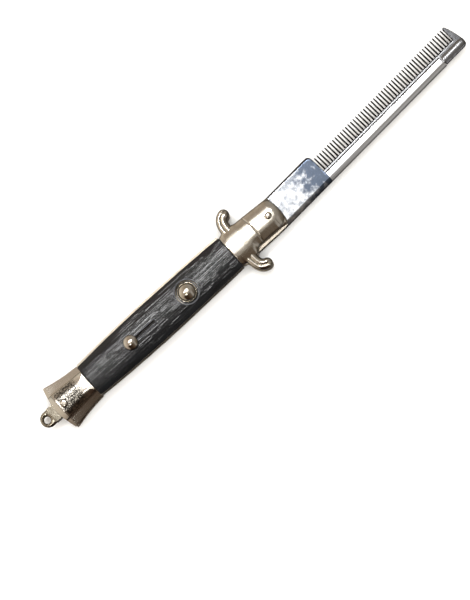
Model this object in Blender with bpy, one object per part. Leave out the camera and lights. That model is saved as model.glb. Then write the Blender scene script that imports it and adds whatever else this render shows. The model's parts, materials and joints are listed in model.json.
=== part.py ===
"""Folding pocket comb with a push-button handle, open and lying on its back.

Axes: +X runs along the handle to the comb's tip, +Y is the side that the teeth point to
and the side where the handle is open, +Z is up, out of the face with the button.
Every size below is in millimetres, counted from the pivot along X, from the handle's
centre line along Y and from the handle's middle plane along Z. new_object() turns
millimetres into metres, and the empty named handle lifts the whole thing onto Z = 0.
"""
import math
from typing import NamedTuple

import bmesh
import bpy
import numpy as np

MM = 0.001

# Layers, as heights above the middle plane. The back half mirrors the front half.
SEAT_GAP = 0.3
HALF_THICKNESS = 6.5
BLADE_HALF = 1.6
LINER_INNER = 1.95
LINER_OUTER = 2.75
COVER_BASE = LINER_OUTER + SEAT_GAP
SPACER_HALF = LINER_INNER - SEAT_GAP
SCALE_CREST = 6.3
RIM_TOP = 6.55

# Stations along the handle
HEAD_FRONT = 4.1
HEAD_REAR = -20.6
SCALE_FRONT = HEAD_REAR - SEAT_GAP
SCALE_REAR = -96.7
POMMEL_FRONT = SCALE_REAR - SEAT_GAP
POMMEL_CREST_END = -112.2
POMMEL_CORNER = -113.0
POMMEL_BOW = 1.6
HEAD_BOW = 0.8

# Half widths of the handle
SCALE_MIDDLE = -62.0
SCALE_HALF_MIDDLE = 8.3
SCALE_HALF_FRONT = 7.55
SCALE_HALF_REAR = 7.3
LINER_LEDGE = 0.85
POMMEL_HALF_FRONT = 7.8
POMMEL_FLARE_SLOPE = 0.5
POMMEL_FLARE_CURVE = 1.75
GUARD_HALF = 7.2
GUARD_LINER_HALF = 6.95
RELIEF_LINER_HALF = 7.4

# Guard: one finger each side, curving towards the comb
GUARD_X = -16.1
FINGER_ROOT_HALF = 2.65
FINGER_TIP_HALF = 2.3
FINGER_TIP_X = -12.8
FINGER_TIP_Y = 13.1
FINGER_TOP = 5.5
FINGER_GROOVE = 0.35
FINGER_STEP_Y = 7.35

# Pins and controls
PIVOT_Y = 0.4
PIVOT_PIN_RADIUS = 1.45
PIVOT_PIN_TOP = 6.95
POMMEL_PIN_X = -110.2
POMMEL_PIN_Y = -0.2
POMMEL_PIN_RADIUS = 1.6
POMMEL_PIN_TOP = 7.3
PIN_CLEARANCE = 0.3
CONTROL_Y = -0.3
BUTTON_X = -44.3
BUTTON_RADIUS = 3.95
BUTTON_HOLE_RADIUS = 4.65
BUTTON_RIM_RADIUS = 5.2
BUTTON_BASE = 4.0
BUTTON_WALL_TOP = 6.1
BUTTON_TOP = 7.5
BUTTON_STEM_RADIUS = 1.5
BUTTON_STEM_END = 3.15
SAFETY_X = -74.3
SAFETY_RADIUS = 3.05
SAFETY_HEIGHT = 2.4
SAFETY_STEM_HALF_WIDTH = 0.45
SAFETY_STEM_HALF_LENGTH = 1.5
SLOT_HALF_WIDTH = 0.75
SLOT_BORDER = 0.55
SLOT_FRONT = -61.4
SLOT_REAR = SAFETY_X - SAFETY_STEM_HALF_LENGTH - 0.4

# Tail ring
BAIL_CENTRE_X = -119.5
BAIL_RADIUS = 3.35
BAIL_HOLE_X = -120.1
BAIL_HOLE_RADIUS = 1.4
BAIL_RING_HALF = 1.3
BAIL_BLOCK_REAR = -117.7
BAIL_BLOCK_HALF = 2.4
POMMEL_BLOCK_FRONT = -106.6
POMMEL_BLOCK_REAR = -113.0
BAIL_BLOCK_FRONT = POMMEL_BLOCK_REAR - SEAT_GAP

# Back spacer beside the closed comb
SPACER_FRONT = -31.0
SPACER_REAR = POMMEL_BLOCK_FRONT + SEAT_GAP
SPACER_INNER_Y = -4.3

# Comb, in its own axes: u along the blade from the pivot, v towards the teeth
COMB_TILT_DEG = 3.1
SPINE_V = -8.12
RICASSO_TOP_V = 6.25
RICASSO_END_U = 28.5
RICASSO_CORNER = 2.0
TANG_REACH = 6.6
SLEEVE_TOP_V = -3.85
SLEEVE_END_U = 93.2
SLEEVE_CORNER = 0.8
SLEEVE_CHANNEL_HALF = 1.15
SLEEVE_CHANNEL_BOTTOM_V = -7.0
SPINE_ROUND = 1.9
EDGE_BEVEL = 0.5
INSERT_HALF = SLEEVE_CHANNEL_HALF - SEAT_GAP
INSERT_BOTTOM_V = SLEEVE_CHANNEL_BOTTOM_V + SEAT_GAP
INSERT_TOP_V = 6.0
TOOTH_COUNT = 50
TOOTH_FIRST_U = 29.6
TOOTH_PITCH = 1.463
TOOTH_WIDTH = 0.66
TOOTH_POINT_WIDTH = 0.3
TOOTH_POINT_LENGTH = 0.35
TOOTH_ROOT_V = -2.5
TOOTH_TIP_V = 3.95
TOOTH_TIP_HALF = 0.45
TOOTH_POINT_HALF = 0.25
END_SPINE_V = -7.8
END_RIDGE_V = -5.6
END_RIDGE_HALF = 1.35
COMB_TIP_U = 105.35

ROUND_SEGMENTS = 28
CUT_MARGIN = 2.0


class Station(NamedTuple):
    """One cross-section of a bolster or scale: half widths, then heights of its profile."""
    x: float
    minus: float
    plus: float
    wall: float
    crest_half: float
    crest: float
    shoulder: float = 0.0
    shoulder_z: float = 0.0


def clear_scene():
    """Remove every object, so that the script starts from nothing."""
    for old in list(bpy.data.objects):
        bpy.data.objects.remove(old, do_unlink=True)


def new_material(name, colour, metallic, roughness):
    """A Principled material with one colour."""
    material = bpy.data.materials.new(name)
    material.use_nodes = True
    shader = material.node_tree.nodes["Principled BSDF"]
    shader.inputs["Base Color"].default_value = (*colour, 1.0)
    shader.inputs["Metallic"].default_value = metallic
    shader.inputs["Roughness"].default_value = roughness
    return material


def new_empty(name, location, turn_deg=0.0, parent=None):
    """An empty that carries other objects, placed in millimetres."""
    empty = bpy.data.objects.new(name, None)
    empty.location = [value * MM for value in location]
    empty.rotation_euler = (0.0, 0.0, math.radians(turn_deg))
    empty.parent = parent
    bpy.context.scene.collection.objects.link(empty)
    return empty


def new_object(name, shape, material, parent, location=(0.0, 0.0, 0.0)):
    """Turn a bmesh in millimetres into a named object in metres."""
    bmesh.ops.recalc_face_normals(shape, faces=shape.faces)
    bmesh.ops.scale(shape, vec=(MM, MM, MM), verts=shape.verts)
    mesh = bpy.data.meshes.new(name)
    shape.to_mesh(mesh)
    shape.free()
    mesh.shade_smooth()
    mesh.set_sharp_from_angle(angle=math.radians(35.0))
    if material:
        mesh.materials.append(material)
    built = bpy.data.objects.new(name, mesh)
    built.location = [value * MM for value in location]
    built.parent = parent
    bpy.context.scene.collection.objects.link(built)
    return built


def loft(rings, hubs=None):
    """Join rings of equal length into one closed body.

    Each end has one flat face, or a fan of triangles about its hub where two hubs are given.
    """
    shape = bmesh.new()
    rows = [[shape.verts.new(point) for point in ring] for ring in rings]
    count = len(rows[0])
    for low, high in zip(rows, rows[1:]):
        for i in range(count):
            j = (i + 1) % count
            shape.faces.new((low[i], low[j], high[j], high[i]))
    for row, hub in zip((rows[0], rows[-1]), hubs or (None, None)):
        if hub is None:
            shape.faces.new(row)
            continue
        middle = shape.verts.new(hub)
        for i in range(count):
            shape.faces.new((middle, row[i], row[(i + 1) % count]))
    return shape


def prism(outline, low, high):
    """Extrude a flat outline from one height to another."""
    return loft([[(x, y, z) for x, y in outline] for z in (low, high)])


def turned(profile, segments=ROUND_SEGMENTS):
    """Turn a profile of (radius, height) pairs about Z; it starts and ends on the axis."""
    shape = bmesh.new()
    angles = [2.0 * math.pi * k / segments for k in range(segments)]
    bottom = shape.verts.new((0.0, 0.0, profile[0][1]))
    top = shape.verts.new((0.0, 0.0, profile[-1][1]))
    rings = []
    for radius, height in profile[1:-1]:
        rings.append([shape.verts.new((radius * math.cos(a), radius * math.sin(a), height))
                      for a in angles])
    for i in range(segments):
        j = (i + 1) % segments
        shape.faces.new((bottom, rings[0][j], rings[0][i]))
        shape.faces.new((top, rings[-1][i], rings[-1][j]))
        for low, high in zip(rings, rings[1:]):
            shape.faces.new((low[i], low[j], high[j], high[i]))
    return shape


def cylinder(radius, low, high, segments=ROUND_SEGMENTS):
    """A plain upright cylinder."""
    return turned([(0.0, low), (radius, low), (radius, high), (0.0, high)], segments)


def dome(radius, foot, top, steps=5):
    """Points of a quarter ellipse from (radius, foot) up to the axis at top."""
    angles = np.linspace(0.0, 0.5 * math.pi, steps + 1)
    return [(radius * math.cos(a), foot + (top - foot) * math.sin(a)) for a in angles[:-1]] + [(0.0, top)]


def combine(target, shape, operation, name, parent, location=(0.0, 0.0, 0.0)):
    """Cut a helper shape out of the target, or join it on, with a live Boolean."""
    helper = new_object(name, shape, None, parent, location)
    helper.hide_render = True
    helper.display_type = "WIRE"
    boolean = target.modifiers.new(name, "BOOLEAN")
    boolean.object = helper
    boolean.operation = operation
    boolean.solver = "EXACT"


def drill(target, name, radius, x, y, parent):
    """A round hole right through the target, along Z."""
    reach = HALF_THICKNESS + CUT_MARGIN
    combine(target, cylinder(radius, -reach, reach, 24), "DIFFERENCE", name, parent, (x, y, 0.0))


def scale_half(x):
    """Half width of the scales: a barrel outline, one parabola each side of its widest place."""
    if x > SCALE_MIDDLE:
        share = (x - SCALE_MIDDLE) / (SCALE_FRONT - SCALE_MIDDLE)
        return SCALE_HALF_MIDDLE - (SCALE_HALF_MIDDLE - SCALE_HALF_FRONT) * share ** 2
    share = (x - SCALE_MIDDLE) / (SCALE_REAR - SCALE_MIDDLE)
    return SCALE_HALF_MIDDLE - (SCALE_HALF_MIDDLE - SCALE_HALF_REAR) * share ** 2


def pommel_half(x):
    """Half width of the pommel bolster: a hollow flare that widens towards the end."""
    share = (POMMEL_FRONT - x) / (POMMEL_FRONT - POMMEL_CREST_END)
    return POMMEL_HALF_FRONT + POMMEL_FLARE_SLOPE * share + POMMEL_FLARE_CURVE * share ** 2


def half_profile(station, half):
    """(y, z) points from the outer edge up to the crest: wall, shoulder, elliptical flank."""
    points = [(half, COVER_BASE), (half, station.wall)]
    foot_y = half
    foot_z = station.wall
    if station.shoulder:
        foot_y = station.shoulder
        foot_z = station.shoulder_z
        points.append((foot_y, foot_z))
    for step in range(1, 7):
        angle = 0.5 * math.pi * step / 6.0
        points.append((station.crest_half + (foot_y - station.crest_half) * math.cos(angle),
                       foot_z + (station.crest - foot_z) * math.sin(angle)))
    return points


def station_ring(station, side, bow):
    """The closed ring of one station; side is +1 on the front face and -1 on the back."""
    minus = [(-y, z) for y, z in half_profile(station, station.minus)]
    plus = [(y, z) for y, z in reversed(half_profile(station, station.plus))]
    middle = 0.5 * (station.plus - station.minus)
    half = 0.5 * (station.plus + station.minus)
    under = [(middle + half * share, COVER_BASE) for share in (0.5, 0.0, -0.5)]
    return [(station.x + bow * (1.0 - ((y - middle) / half) ** 2), y, side * z)
            for y, z in minus + plus + under]


def cover(stations, side, rear_bow=0.0, front_bow=0.0):
    """A bolster or scale lofted through its stations, whose end stations may be bowed."""
    rings = []
    hubs = []
    for station in stations:
        bow = 0.0
        if station.x <= POMMEL_CORNER:
            bow = rear_bow
        if station.x >= HEAD_FRONT - 1.0:
            bow = front_bow
        rings.append(station_ring(station, side, bow))
        hubs.append((station.x + bow, 0.5 * (station.plus - station.minus),
                     0.5 * side * (COVER_BASE + station.crest)))
    return loft(rings, (hubs[0], hubs[-1]))


def scale_stations():
    """Sections of a scale: its ends are eased, its crest is nearly level."""
    ease = 0.3
    stations = [Station(SCALE_REAR, SCALE_HALF_REAR - ease, SCALE_HALF_REAR - ease, 3.6, 0.8,
                        SCALE_CREST - ease)]
    for x in np.linspace(SCALE_REAR + ease, SCALE_FRONT - 1.0, 12):
        half = scale_half(x)
        stations.append(Station(x, half, half, 3.75, 0.8, SCALE_CREST))
    half = scale_half(SCALE_FRONT - ease)
    stations.append(Station(SCALE_FRONT - ease, half - 0.3, half - 0.3, 3.7, 0.8, SCALE_CREST - 0.1))
    stations.append(Station(SCALE_FRONT, half - 0.8, half - 0.8, 3.5, 0.8, SCALE_CREST - ease))
    return stations


def head_stations():
    """Sections of the head bolster: guard, relieved edge at -Y, seam groove, round nose."""
    return [
        Station(HEAD_REAR, 6.9, 6.9, 3.8, 2.4, 6.25),
        Station(HEAD_REAR + 0.35, GUARD_HALF, GUARD_HALF, 4.0, 2.6, HALF_THICKNESS),
        Station(-19.4, 7.4, 7.5, 4.0, 2.6, HALF_THICKNESS),
        Station(-18.6, 7.9, 8.1, 4.0, 2.6, HALF_THICKNESS),
        Station(-13.2, 7.9, 7.9, 4.0, 2.6, HALF_THICKNESS),
        Station(-12.4, 7.4, 7.5, 4.0, 2.6, HALF_THICKNESS),
        Station(-11.5, 6.5, 7.4, 4.0, 2.6, HALF_THICKNESS),
        Station(-10.2, 6.05, 7.3, 4.0, 2.6, HALF_THICKNESS),
        Station(-8.25, 6.0, 7.2, 4.0, 2.6, HALF_THICKNESS),
        Station(-7.9, 5.8, 7.0, 3.9, 2.5, HALF_THICKNESS - 0.2),
        Station(-7.55, 6.0, 7.15, 4.0, 2.6, HALF_THICKNESS),
        Station(-4.0, 6.1, 6.95, 4.0, 2.6, HALF_THICKNESS),
        Station(0.0, 6.25, 6.65, 4.0, 2.6, HALF_THICKNESS),
        Station(HEAD_FRONT - 0.6, 6.6, 6.35, 4.0, 2.6, HALF_THICKNESS),
        Station(HEAD_FRONT - 0.2, 6.45, 6.1, 3.9, 2.5, 6.35),
        Station(HEAD_FRONT, 6.2, 5.8, 3.8, 2.4, 6.1),
    ]


def pommel_stations():
    """Sections of the pommel bolster: a raised middle band between two flat shoulders."""
    rows = []
    for x, band, crest_half in ((-97.35, 5.2, 3.6), (-98.6, 5.2, 2.9), (-100.2, 5.3, 1.9),
                                (-103.2, 5.4, 1.8), (-106.2, 5.6, 1.8), (-109.2, 5.8, 1.8),
                                (POMMEL_CREST_END, 5.9, 1.8)):
        half = pommel_half(x)
        rows.append(Station(x, half, half, 3.5, crest_half, HALF_THICKNESS, band, 4.3))
    front = Station(POMMEL_FRONT, 7.5, 7.5, 3.4, 3.5, 6.25, 5.1, 4.1)
    end_half = pommel_half(POMMEL_CREST_END)
    end = Station(POMMEL_CORNER, end_half, end_half, 3.2, 1.8, 4.7, 5.9, 3.6)
    return [end] + rows[::-1] + [front]


def finger_path(side):
    """Stations of a guard finger: (x, y, half width, foot, top) along a curve to its round tip."""
    start = np.array((GUARD_X, 5.6))
    lift = np.array((GUARD_X, 9.5))
    lean = np.array((-15.9, 12.3))
    tip = np.array((FINGER_TIP_X, FINGER_TIP_Y))
    foot_inside = COVER_BASE + 0.25
    rows = [(start, np.array((0.0, 1.0)), FINGER_ROOT_HALF, foot_inside, FINGER_TOP)]
    just_inside = np.array((GUARD_X, FINGER_STEP_Y - 0.1))
    rows.append((just_inside, np.array((0.0, 1.0)), FINGER_ROOT_HALF, foot_inside, FINGER_TOP))
    for t in (0.17, 0.35, 0.5, 0.65, 0.8, 0.9, 1.0):
        s = 1.0 - t
        place = s ** 3 * start + 3 * s * s * t * lift + 3 * s * t * t * lean + t ** 3 * tip
        along = s * s * (lift - start) + 2 * s * t * (lean - lift) + t * t * (tip - lean)
        half = FINGER_ROOT_HALF + (FINGER_TIP_HALF - FINGER_ROOT_HALF) * t
        rows.append((place, along / np.linalg.norm(along), half, LINER_INNER, FINGER_TOP - 0.2 * t))
    along = rows[-1][1]
    for angle in (0.6, 1.05, 1.4):
        place = tip + along * FINGER_TIP_HALF * math.sin(angle)
        top = LINER_INNER + (rows[8][4] - LINER_INNER) * (0.5 + 0.5 * math.cos(angle))
        rows.append((place, along, FINGER_TIP_HALF * math.cos(angle), LINER_INNER, top))
    return [(place * (1.0, side), along * (1.0, side), half, foot, top)
            for place, along, half, foot, top in rows]


def finger(side, face):
    """One guard finger on one half of the guard: flat inside, two rounded ridges outside."""
    rings = []
    for place, along, half, foot, top in finger_path(side):
        across = np.array((-along[1], along[0]))
        ring = [(-half, foot), (-half, foot + 0.45 * (top - foot))]
        for share in (-0.85, -0.55, -0.25, 0.0, 0.25, 0.55, 0.85):
            groove = FINGER_GROOVE * max(0.0, 1.0 - (share / 0.3) ** 2) * half / FINGER_ROOT_HALF
            height = 0.45 + 0.55 * math.sqrt(1.0 - share * share)
            ring.append((share * half, foot + height * (top - foot) - groove))
        ring += [(half, foot + 0.45 * (top - foot)), (half, foot)]
        rings.append([(place[0] + across[0] * offset, place[1] + across[1] * offset, face * z)
                      for offset, z in ring])
    return loft(rings)


def liner_outline():
    """Plan of a liner: it shows as a ledge at +Y beside the scale and at -Y beside the head."""
    plus = []
    minus = []
    for x in np.linspace(POMMEL_CREST_END, POMMEL_FRONT - 0.2, 6):
        plus.append((x, pommel_half(x) - 0.35))
        minus.append((x, 0.35 - pommel_half(x)))
    for x in np.linspace(SCALE_REAR + 0.2, SCALE_FRONT - 0.4, 14):
        plus.append((x, scale_half(x) + LINER_LEDGE))
        minus.append((x, -scale_half(x) - 0.05))
    plus += [(HEAD_REAR + 0.1, GUARD_LINER_HALF), (-10.0, GUARD_LINER_HALF), (0.0, 6.3)]
    minus += [(HEAD_REAR + 0.1, -GUARD_LINER_HALF), (-12.9, -GUARD_LINER_HALF),
              (-12.3, -RELIEF_LINER_HALF), (0.0, -RELIEF_LINER_HALF)]
    nose = [(3.2, 5.9), (4.0, 4.2), (4.35, 2.0), (4.45, -0.3), (4.3, -3.0), (4.0, -5.2), (3.4, -7.1)]
    end = [(POMMEL_BLOCK_REAR, -5.0), (POMMEL_BLOCK_REAR, 5.0)]
    return plus + nose + minus[::-1] + end


def spacer_outline():
    """Plan of the bar that closes the handle at -Y, beside the closed comb."""
    stations = np.linspace(SPACER_REAR, SPACER_FRONT, 12)
    outer = []
    for x in stations:
        half = pommel_half(x) - 0.35 if x < POMMEL_FRONT else scale_half(x)
        outer.append((x, 0.2 - half))
    return outer + [(SPACER_FRONT, SPACER_INNER_Y), (SPACER_REAR, SPACER_INNER_Y)]


def pommel_block_outline():
    """Plan of the block between the liners at the handle's end."""
    stations = np.linspace(POMMEL_CREST_END, POMMEL_BLOCK_FRONT, 4)
    plus = [(x, pommel_half(x) - 0.6) for x in stations]
    minus = [(x, 0.6 - pommel_half(x)) for x in stations[::-1]]
    return plus + minus + [(POMMEL_BLOCK_REAR, -5.0), (POMMEL_BLOCK_REAR, 5.0)]


def ring_outline(radius, centre_x, front_x, steps=14):
    """Plan of the tail ring's plate: a half round end with straight sides."""
    points = []
    for k in range(steps + 1):
        angle = 0.5 * math.pi + math.pi * k / steps
        points.append((centre_x + radius * math.cos(angle), radius * math.sin(angle)))
    return points + [(front_x, -radius), (front_x, radius)]


def comb_outline(spine_inset, edge_inset):
    """Plan of the folded sheet at one height: tang, ricasso and the sleeve along the spine."""
    middle = 0.5 * (RICASSO_TOP_V + SPINE_V)
    top = RICASSO_TOP_V - edge_inset
    bottom = SPINE_V + spine_inset
    sleeve_top = SLEEVE_TOP_V - edge_inset
    reach = TANG_REACH - edge_inset
    points = []
    for k in range(13):
        angle = 0.5 * math.pi + math.pi * k / 12
        rise = top - middle if angle < math.pi else middle - bottom
        points.append((reach * math.cos(angle), middle + rise * math.sin(angle)))
    end = SLEEVE_END_U - edge_inset
    points.append((end, bottom))
    for angle in (0.0, 0.5, 1.0, 0.5 * math.pi):
        points.append((end - SLEEVE_CORNER * (1.0 - math.cos(angle)),
                       sleeve_top - SLEEVE_CORNER * (1.0 - math.sin(angle))))
    edge = RICASSO_END_U - edge_inset
    points.append((edge, sleeve_top))
    for k in range(5):
        angle = 0.5 * math.pi * k / 4
        points.append((edge - RICASSO_CORNER * (1.0 - math.cos(angle)),
                       top - RICASSO_CORNER * (1.0 - math.sin(angle))))
    return points


def sleeve_shape():
    """The folded sheet before its channel is cut: an outline lofted through its thickness.

    The spine is rounded by an ellipse and the other edges have a flat bevel.
    """
    rings = []
    for height, bevel in ((-1.6, 1.0), (-1.5, 0.6), (-1.35, 0.0), (-1.05, 0.0), (-0.6, 0.0), (0.0, 0.0),
                          (0.6, 0.0), (1.05, 0.0), (1.35, 0.0), (1.5, 0.6), (1.6, 1.0)):
        share = height / BLADE_HALF
        spine_inset = SPINE_ROUND * (1.0 - math.sqrt(max(0.0, 1.0 - share * share)))
        rings.append([(u, v, height) for u, v in comb_outline(spine_inset, EDGE_BEVEL * bevel)])
    return loft(rings)


def channel_cutter():
    """The space between the two plies of the sheet, open at the edge and at both ends."""
    outline = [(-TANG_REACH - CUT_MARGIN, SLEEVE_CHANNEL_BOTTOM_V),
               (SLEEVE_END_U + CUT_MARGIN, SLEEVE_CHANNEL_BOTTOM_V),
               (SLEEVE_END_U + CUT_MARGIN, RICASSO_TOP_V + CUT_MARGIN),
               (-TANG_REACH - CUT_MARGIN, RICASSO_TOP_V + CUT_MARGIN)]
    return prism(outline, -SLEEVE_CHANNEL_HALF, SLEEVE_CHANNEL_HALF)


def insert_outline_parts():
    """Plan of the toothed plate without its thin teeth: (points round it, root points)."""
    middle = 0.5 * (RICASSO_TOP_V + SPINE_V)
    reach = TANG_REACH - SEAT_GAP
    tang = []
    for k in range(9):
        angle = 0.5 * math.pi + 0.5 * math.pi * k / 8
        tang.append((reach * math.cos(angle), middle + (INSERT_TOP_V - middle) * math.sin(angle)))
    for k in range(1, 5):
        angle = math.pi + 0.5 * math.pi * k / 6
        tang.append((reach * math.cos(angle), middle + (middle - SPINE_V - 0.6) * math.sin(angle)))
    step_u = SLEEVE_END_U + SEAT_GAP
    spine = [(-2.6, INSERT_BOTTOM_V), (step_u, INSERT_BOTTOM_V), (step_u, END_SPINE_V)]
    end = [(103.6, END_SPINE_V), (104.5, -7.5), (105.1, -6.7), (COMB_TIP_U, -5.4), (105.05, -2.9),
           (104.35, 0.4), (103.65, 2.9), (103.3, 3.55), (102.8, 3.8), (102.35, 3.6), (102.2, 3.1),
           (102.2, TOOTH_ROOT_V)]
    roots = []
    for k in reversed(range(TOOTH_COUNT)):
        centre = TOOTH_FIRST_U + TOOTH_PITCH * k
        roots.append((centre + 0.5 * TOOTH_WIDTH, TOOTH_ROOT_V))
        roots.append((centre - 0.5 * TOOTH_WIDTH, TOOTH_ROOT_V))
    corner = [(RICASSO_END_U - SEAT_GAP, TOOTH_ROOT_V), (RICASSO_END_U - SEAT_GAP, INSERT_TOP_V)]
    return tang + spine + end, roots, corner


def insert_shape():
    """The toothed plate: a flat plate whose thin teeth taper in width and in thickness."""
    before, roots, corner = insert_outline_parts()
    outline = before + roots + corner
    shape = bmesh.new()
    sides = (1.0, -1.0)
    plate = [[shape.verts.new((u, v, side * INSERT_HALF)) for u, v in outline] for side in sides]
    for row in plate:
        shape.faces.new(row)
    first = len(before)
    last = first + len(roots)
    for i in range(len(outline)):
        j = (i + 1) % len(outline)
        if first <= i < last and (i - first) % 2 == 0:
            continue
        shape.faces.new((plate[0][i], plate[0][j], plate[1][j], plate[1][i]))
    for i in range(first, last, 2):
        centre = 0.5 * (outline[i][0] + outline[i + 1][0])
        rows = []
        for v, width, half in ((TOOTH_TIP_V - TOOTH_POINT_LENGTH, TOOTH_WIDTH, TOOTH_TIP_HALF),
                               (TOOTH_TIP_V, TOOTH_POINT_WIDTH, TOOTH_POINT_HALF)):
            rows.append([shape.verts.new((centre + 0.5 * width * way, v, half * side))
                         for side, way in ((1, 1), (1, -1), (-1, -1), (-1, 1))])
        root = [plate[0][i], plate[0][i + 1], plate[1][i + 1], plate[1][i]]
        for low, high in ((root, rows[0]), (rows[0], rows[1])):
            for a in range(4):
                b = (a + 1) % 4
                shape.faces.new((low[a], low[b], high[b], high[a]))
        shape.faces.new(rows[1])
    return shape


def end_ridge_shape():
    """The thicker rounded spine of the insert beyond the sleeve."""
    rings = []
    start = SLEEVE_END_U + SEAT_GAP + 0.05
    for u, share in ((start, 0.96), (start + 0.5, 1.0), (102.6, 1.0), (104.0, 0.9), (104.8, 0.7), (105.2, 0.45)):
        ring = []
        for k in range(12):
            angle = 2.0 * math.pi * (k + 0.5) / 12
            ring.append((u, END_RIDGE_V + 2.15 * share * math.cos(angle),
                         END_RIDGE_HALF * share * math.sin(angle)))
        rings.append(ring)
    return loft(rings)


def build_handle(handle, nickel, plastic, steel):
    """Liners, spacer, scales, bolsters, pins and tail ring: everything that stays still."""
    faces = (("front", 1.0), ("back", -1.0))
    for face, side in faces:
        low, high = sorted((side * LINER_INNER, side * LINER_OUTER))
        liner = new_object(face + "_liner", prism(liner_outline(), low, high), steel, handle)
        drill(liner, face + "_liner_pivot_hole", PIVOT_PIN_RADIUS + PIN_CLEARANCE, 0.0, PIVOT_Y, handle)
        drill(liner, face + "_liner_pommel_hole", POMMEL_PIN_RADIUS + PIN_CLEARANCE,
              POMMEL_PIN_X, POMMEL_PIN_Y, handle)
        if face == "front":
            drill(liner, "stem_hole", BUTTON_STEM_RADIUS + PIN_CLEARANCE, BUTTON_X, CONTROL_Y, handle)

        head = new_object(face + "_head_bolster", cover(head_stations(), side, front_bow=HEAD_BOW),
                          nickel, handle)
        for way, way_name in ((1.0, "upper"), (-1.0, "lower")):
            combine(head, finger(way, side), "UNION", face + "_" + way_name + "_finger", handle)
        drill(head, face + "_head_pivot_hole", PIVOT_PIN_RADIUS + PIN_CLEARANCE, 0.0, PIVOT_Y, handle)

        pommel = new_object(face + "_pommel_bolster", cover(pommel_stations(), side, rear_bow=-POMMEL_BOW),
                            nickel, handle)
        drill(pommel, face + "_pommel_hole", POMMEL_PIN_RADIUS + PIN_CLEARANCE,
              POMMEL_PIN_X, POMMEL_PIN_Y, handle)

        scale = new_object(face + "_scale", cover(scale_stations(), side), plastic, handle)
        if face == "front":
            add_control_openings(scale, handle)

    new_object("back_spacer", prism(spacer_outline(), -SPACER_HALF, SPACER_HALF), steel, handle)
    block = new_object("pommel_block", prism(pommel_block_outline(), -SPACER_HALF, SPACER_HALF), steel, handle)
    drill(block, "block_pommel_hole", POMMEL_PIN_RADIUS + PIN_CLEARANCE, POMMEL_PIN_X, POMMEL_PIN_Y, handle)
    build_pins(handle, nickel)
    build_bail(handle, nickel)


def add_control_openings(scale, handle):
    """The button's rimmed hole and the safety's bordered slot in the front scale."""
    rim = cylinder(BUTTON_RIM_RADIUS, COVER_BASE + 1.0, RIM_TOP)
    combine(scale, rim, "UNION", "button_rim", handle, (BUTTON_X, CONTROL_Y, 0.0))
    border_half = SLOT_HALF_WIDTH + SLOT_BORDER
    border = slot_outline(SLOT_REAR - SLOT_BORDER, SLOT_FRONT + SLOT_BORDER, border_half)
    combine(scale, prism(border, COVER_BASE + 1.5, SCALE_CREST + 0.2), "UNION", "slot_border", handle)
    drill(scale, "button_hole", BUTTON_HOLE_RADIUS, BUTTON_X, CONTROL_Y, handle)
    slot = slot_outline(SLOT_REAR, SLOT_FRONT, SLOT_HALF_WIDTH)
    combine(scale, prism(slot, 0.0, HALF_THICKNESS + CUT_MARGIN), "DIFFERENCE", "safety_slot_cutter", handle)


def slot_outline(rear, front, half):
    """Plan of a slot with square ends whose corners are eased."""
    ease = 0.3 * half
    return [(rear + ease, CONTROL_Y - half), (front - ease, CONTROL_Y - half),
            (front, CONTROL_Y - half + ease), (front, CONTROL_Y + half - ease),
            (front - ease, CONTROL_Y + half), (rear + ease, CONTROL_Y + half),
            (rear, CONTROL_Y + half - ease), (rear, CONTROL_Y - half + ease)]


def build_pins(handle, nickel):
    """Straight pins through all layers: domed in front, just short of flush behind."""
    tail = 0.05 - HALF_THICKNESS
    for name, radius, foot, top, x, y in (
            ("pivot_pin", PIVOT_PIN_RADIUS, HALF_THICKNESS, PIVOT_PIN_TOP, 0.0, PIVOT_Y),
            ("pommel_pin", POMMEL_PIN_RADIUS, HALF_THICKNESS, POMMEL_PIN_TOP, POMMEL_PIN_X, POMMEL_PIN_Y)):
        profile = [(0.0, tail), (radius, tail)] + dome(radius, foot, top)
        new_object(name, turned(profile), nickel, handle, (x, y, 0.0))


def build_bail(handle, nickel):
    """The tail ring: a thin ringed plate, a thicker block before it and a hidden shank."""
    ring = prism(ring_outline(BAIL_RADIUS, BAIL_CENTRE_X, BAIL_BLOCK_REAR + 1.0), -BAIL_RING_HALF, BAIL_RING_HALF)
    bail = new_object("bail", ring, nickel, handle)
    block_half = BAIL_RADIUS + 0.05
    block = [(BAIL_BLOCK_REAR, -block_half), (BAIL_BLOCK_FRONT, -block_half),
             (BAIL_BLOCK_FRONT, block_half), (BAIL_BLOCK_REAR, block_half)]
    combine(bail, prism(block, -BAIL_BLOCK_HALF, BAIL_BLOCK_HALF), "UNION", "bail_block", handle)
    drill(bail, "bail_hole", BAIL_HOLE_RADIUS, BAIL_HOLE_X, 0.0, handle)


def build_controls(handle, nickel):
    """The firing button and the safety knob, each with its origin on its own axis."""
    profile = [(0.0, BUTTON_STEM_END), (BUTTON_STEM_RADIUS, BUTTON_STEM_END),
               (BUTTON_STEM_RADIUS, BUTTON_BASE), (BUTTON_RADIUS, BUTTON_BASE)]
    profile += dome(BUTTON_RADIUS, BUTTON_WALL_TOP, BUTTON_TOP, 6)
    new_object("firing_button", turned(profile), nickel, handle, (BUTTON_X, CONTROL_Y, 0.0))

    foot = SCALE_CREST + 0.2 + SEAT_GAP
    profile = [(0.0, foot), (SAFETY_RADIUS - 0.5, foot), (SAFETY_RADIUS - 0.1, foot + 0.25)]
    profile += dome(SAFETY_RADIUS, foot + 0.6, foot + SAFETY_HEIGHT, 6)
    knob = new_object("safety_knob", turned(profile), nickel, handle, (SAFETY_X, CONTROL_Y, 0.0))
    length = SAFETY_STEM_HALF_LENGTH
    width = SAFETY_STEM_HALF_WIDTH
    stem = prism([(-length, -width), (length, -width), (length, width), (-length, width)],
                 COVER_BASE + 0.05, foot + 1.0)
    combine(knob, stem, "UNION", "safety_stem", handle, (SAFETY_X, CONTROL_Y, 0.0))


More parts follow.
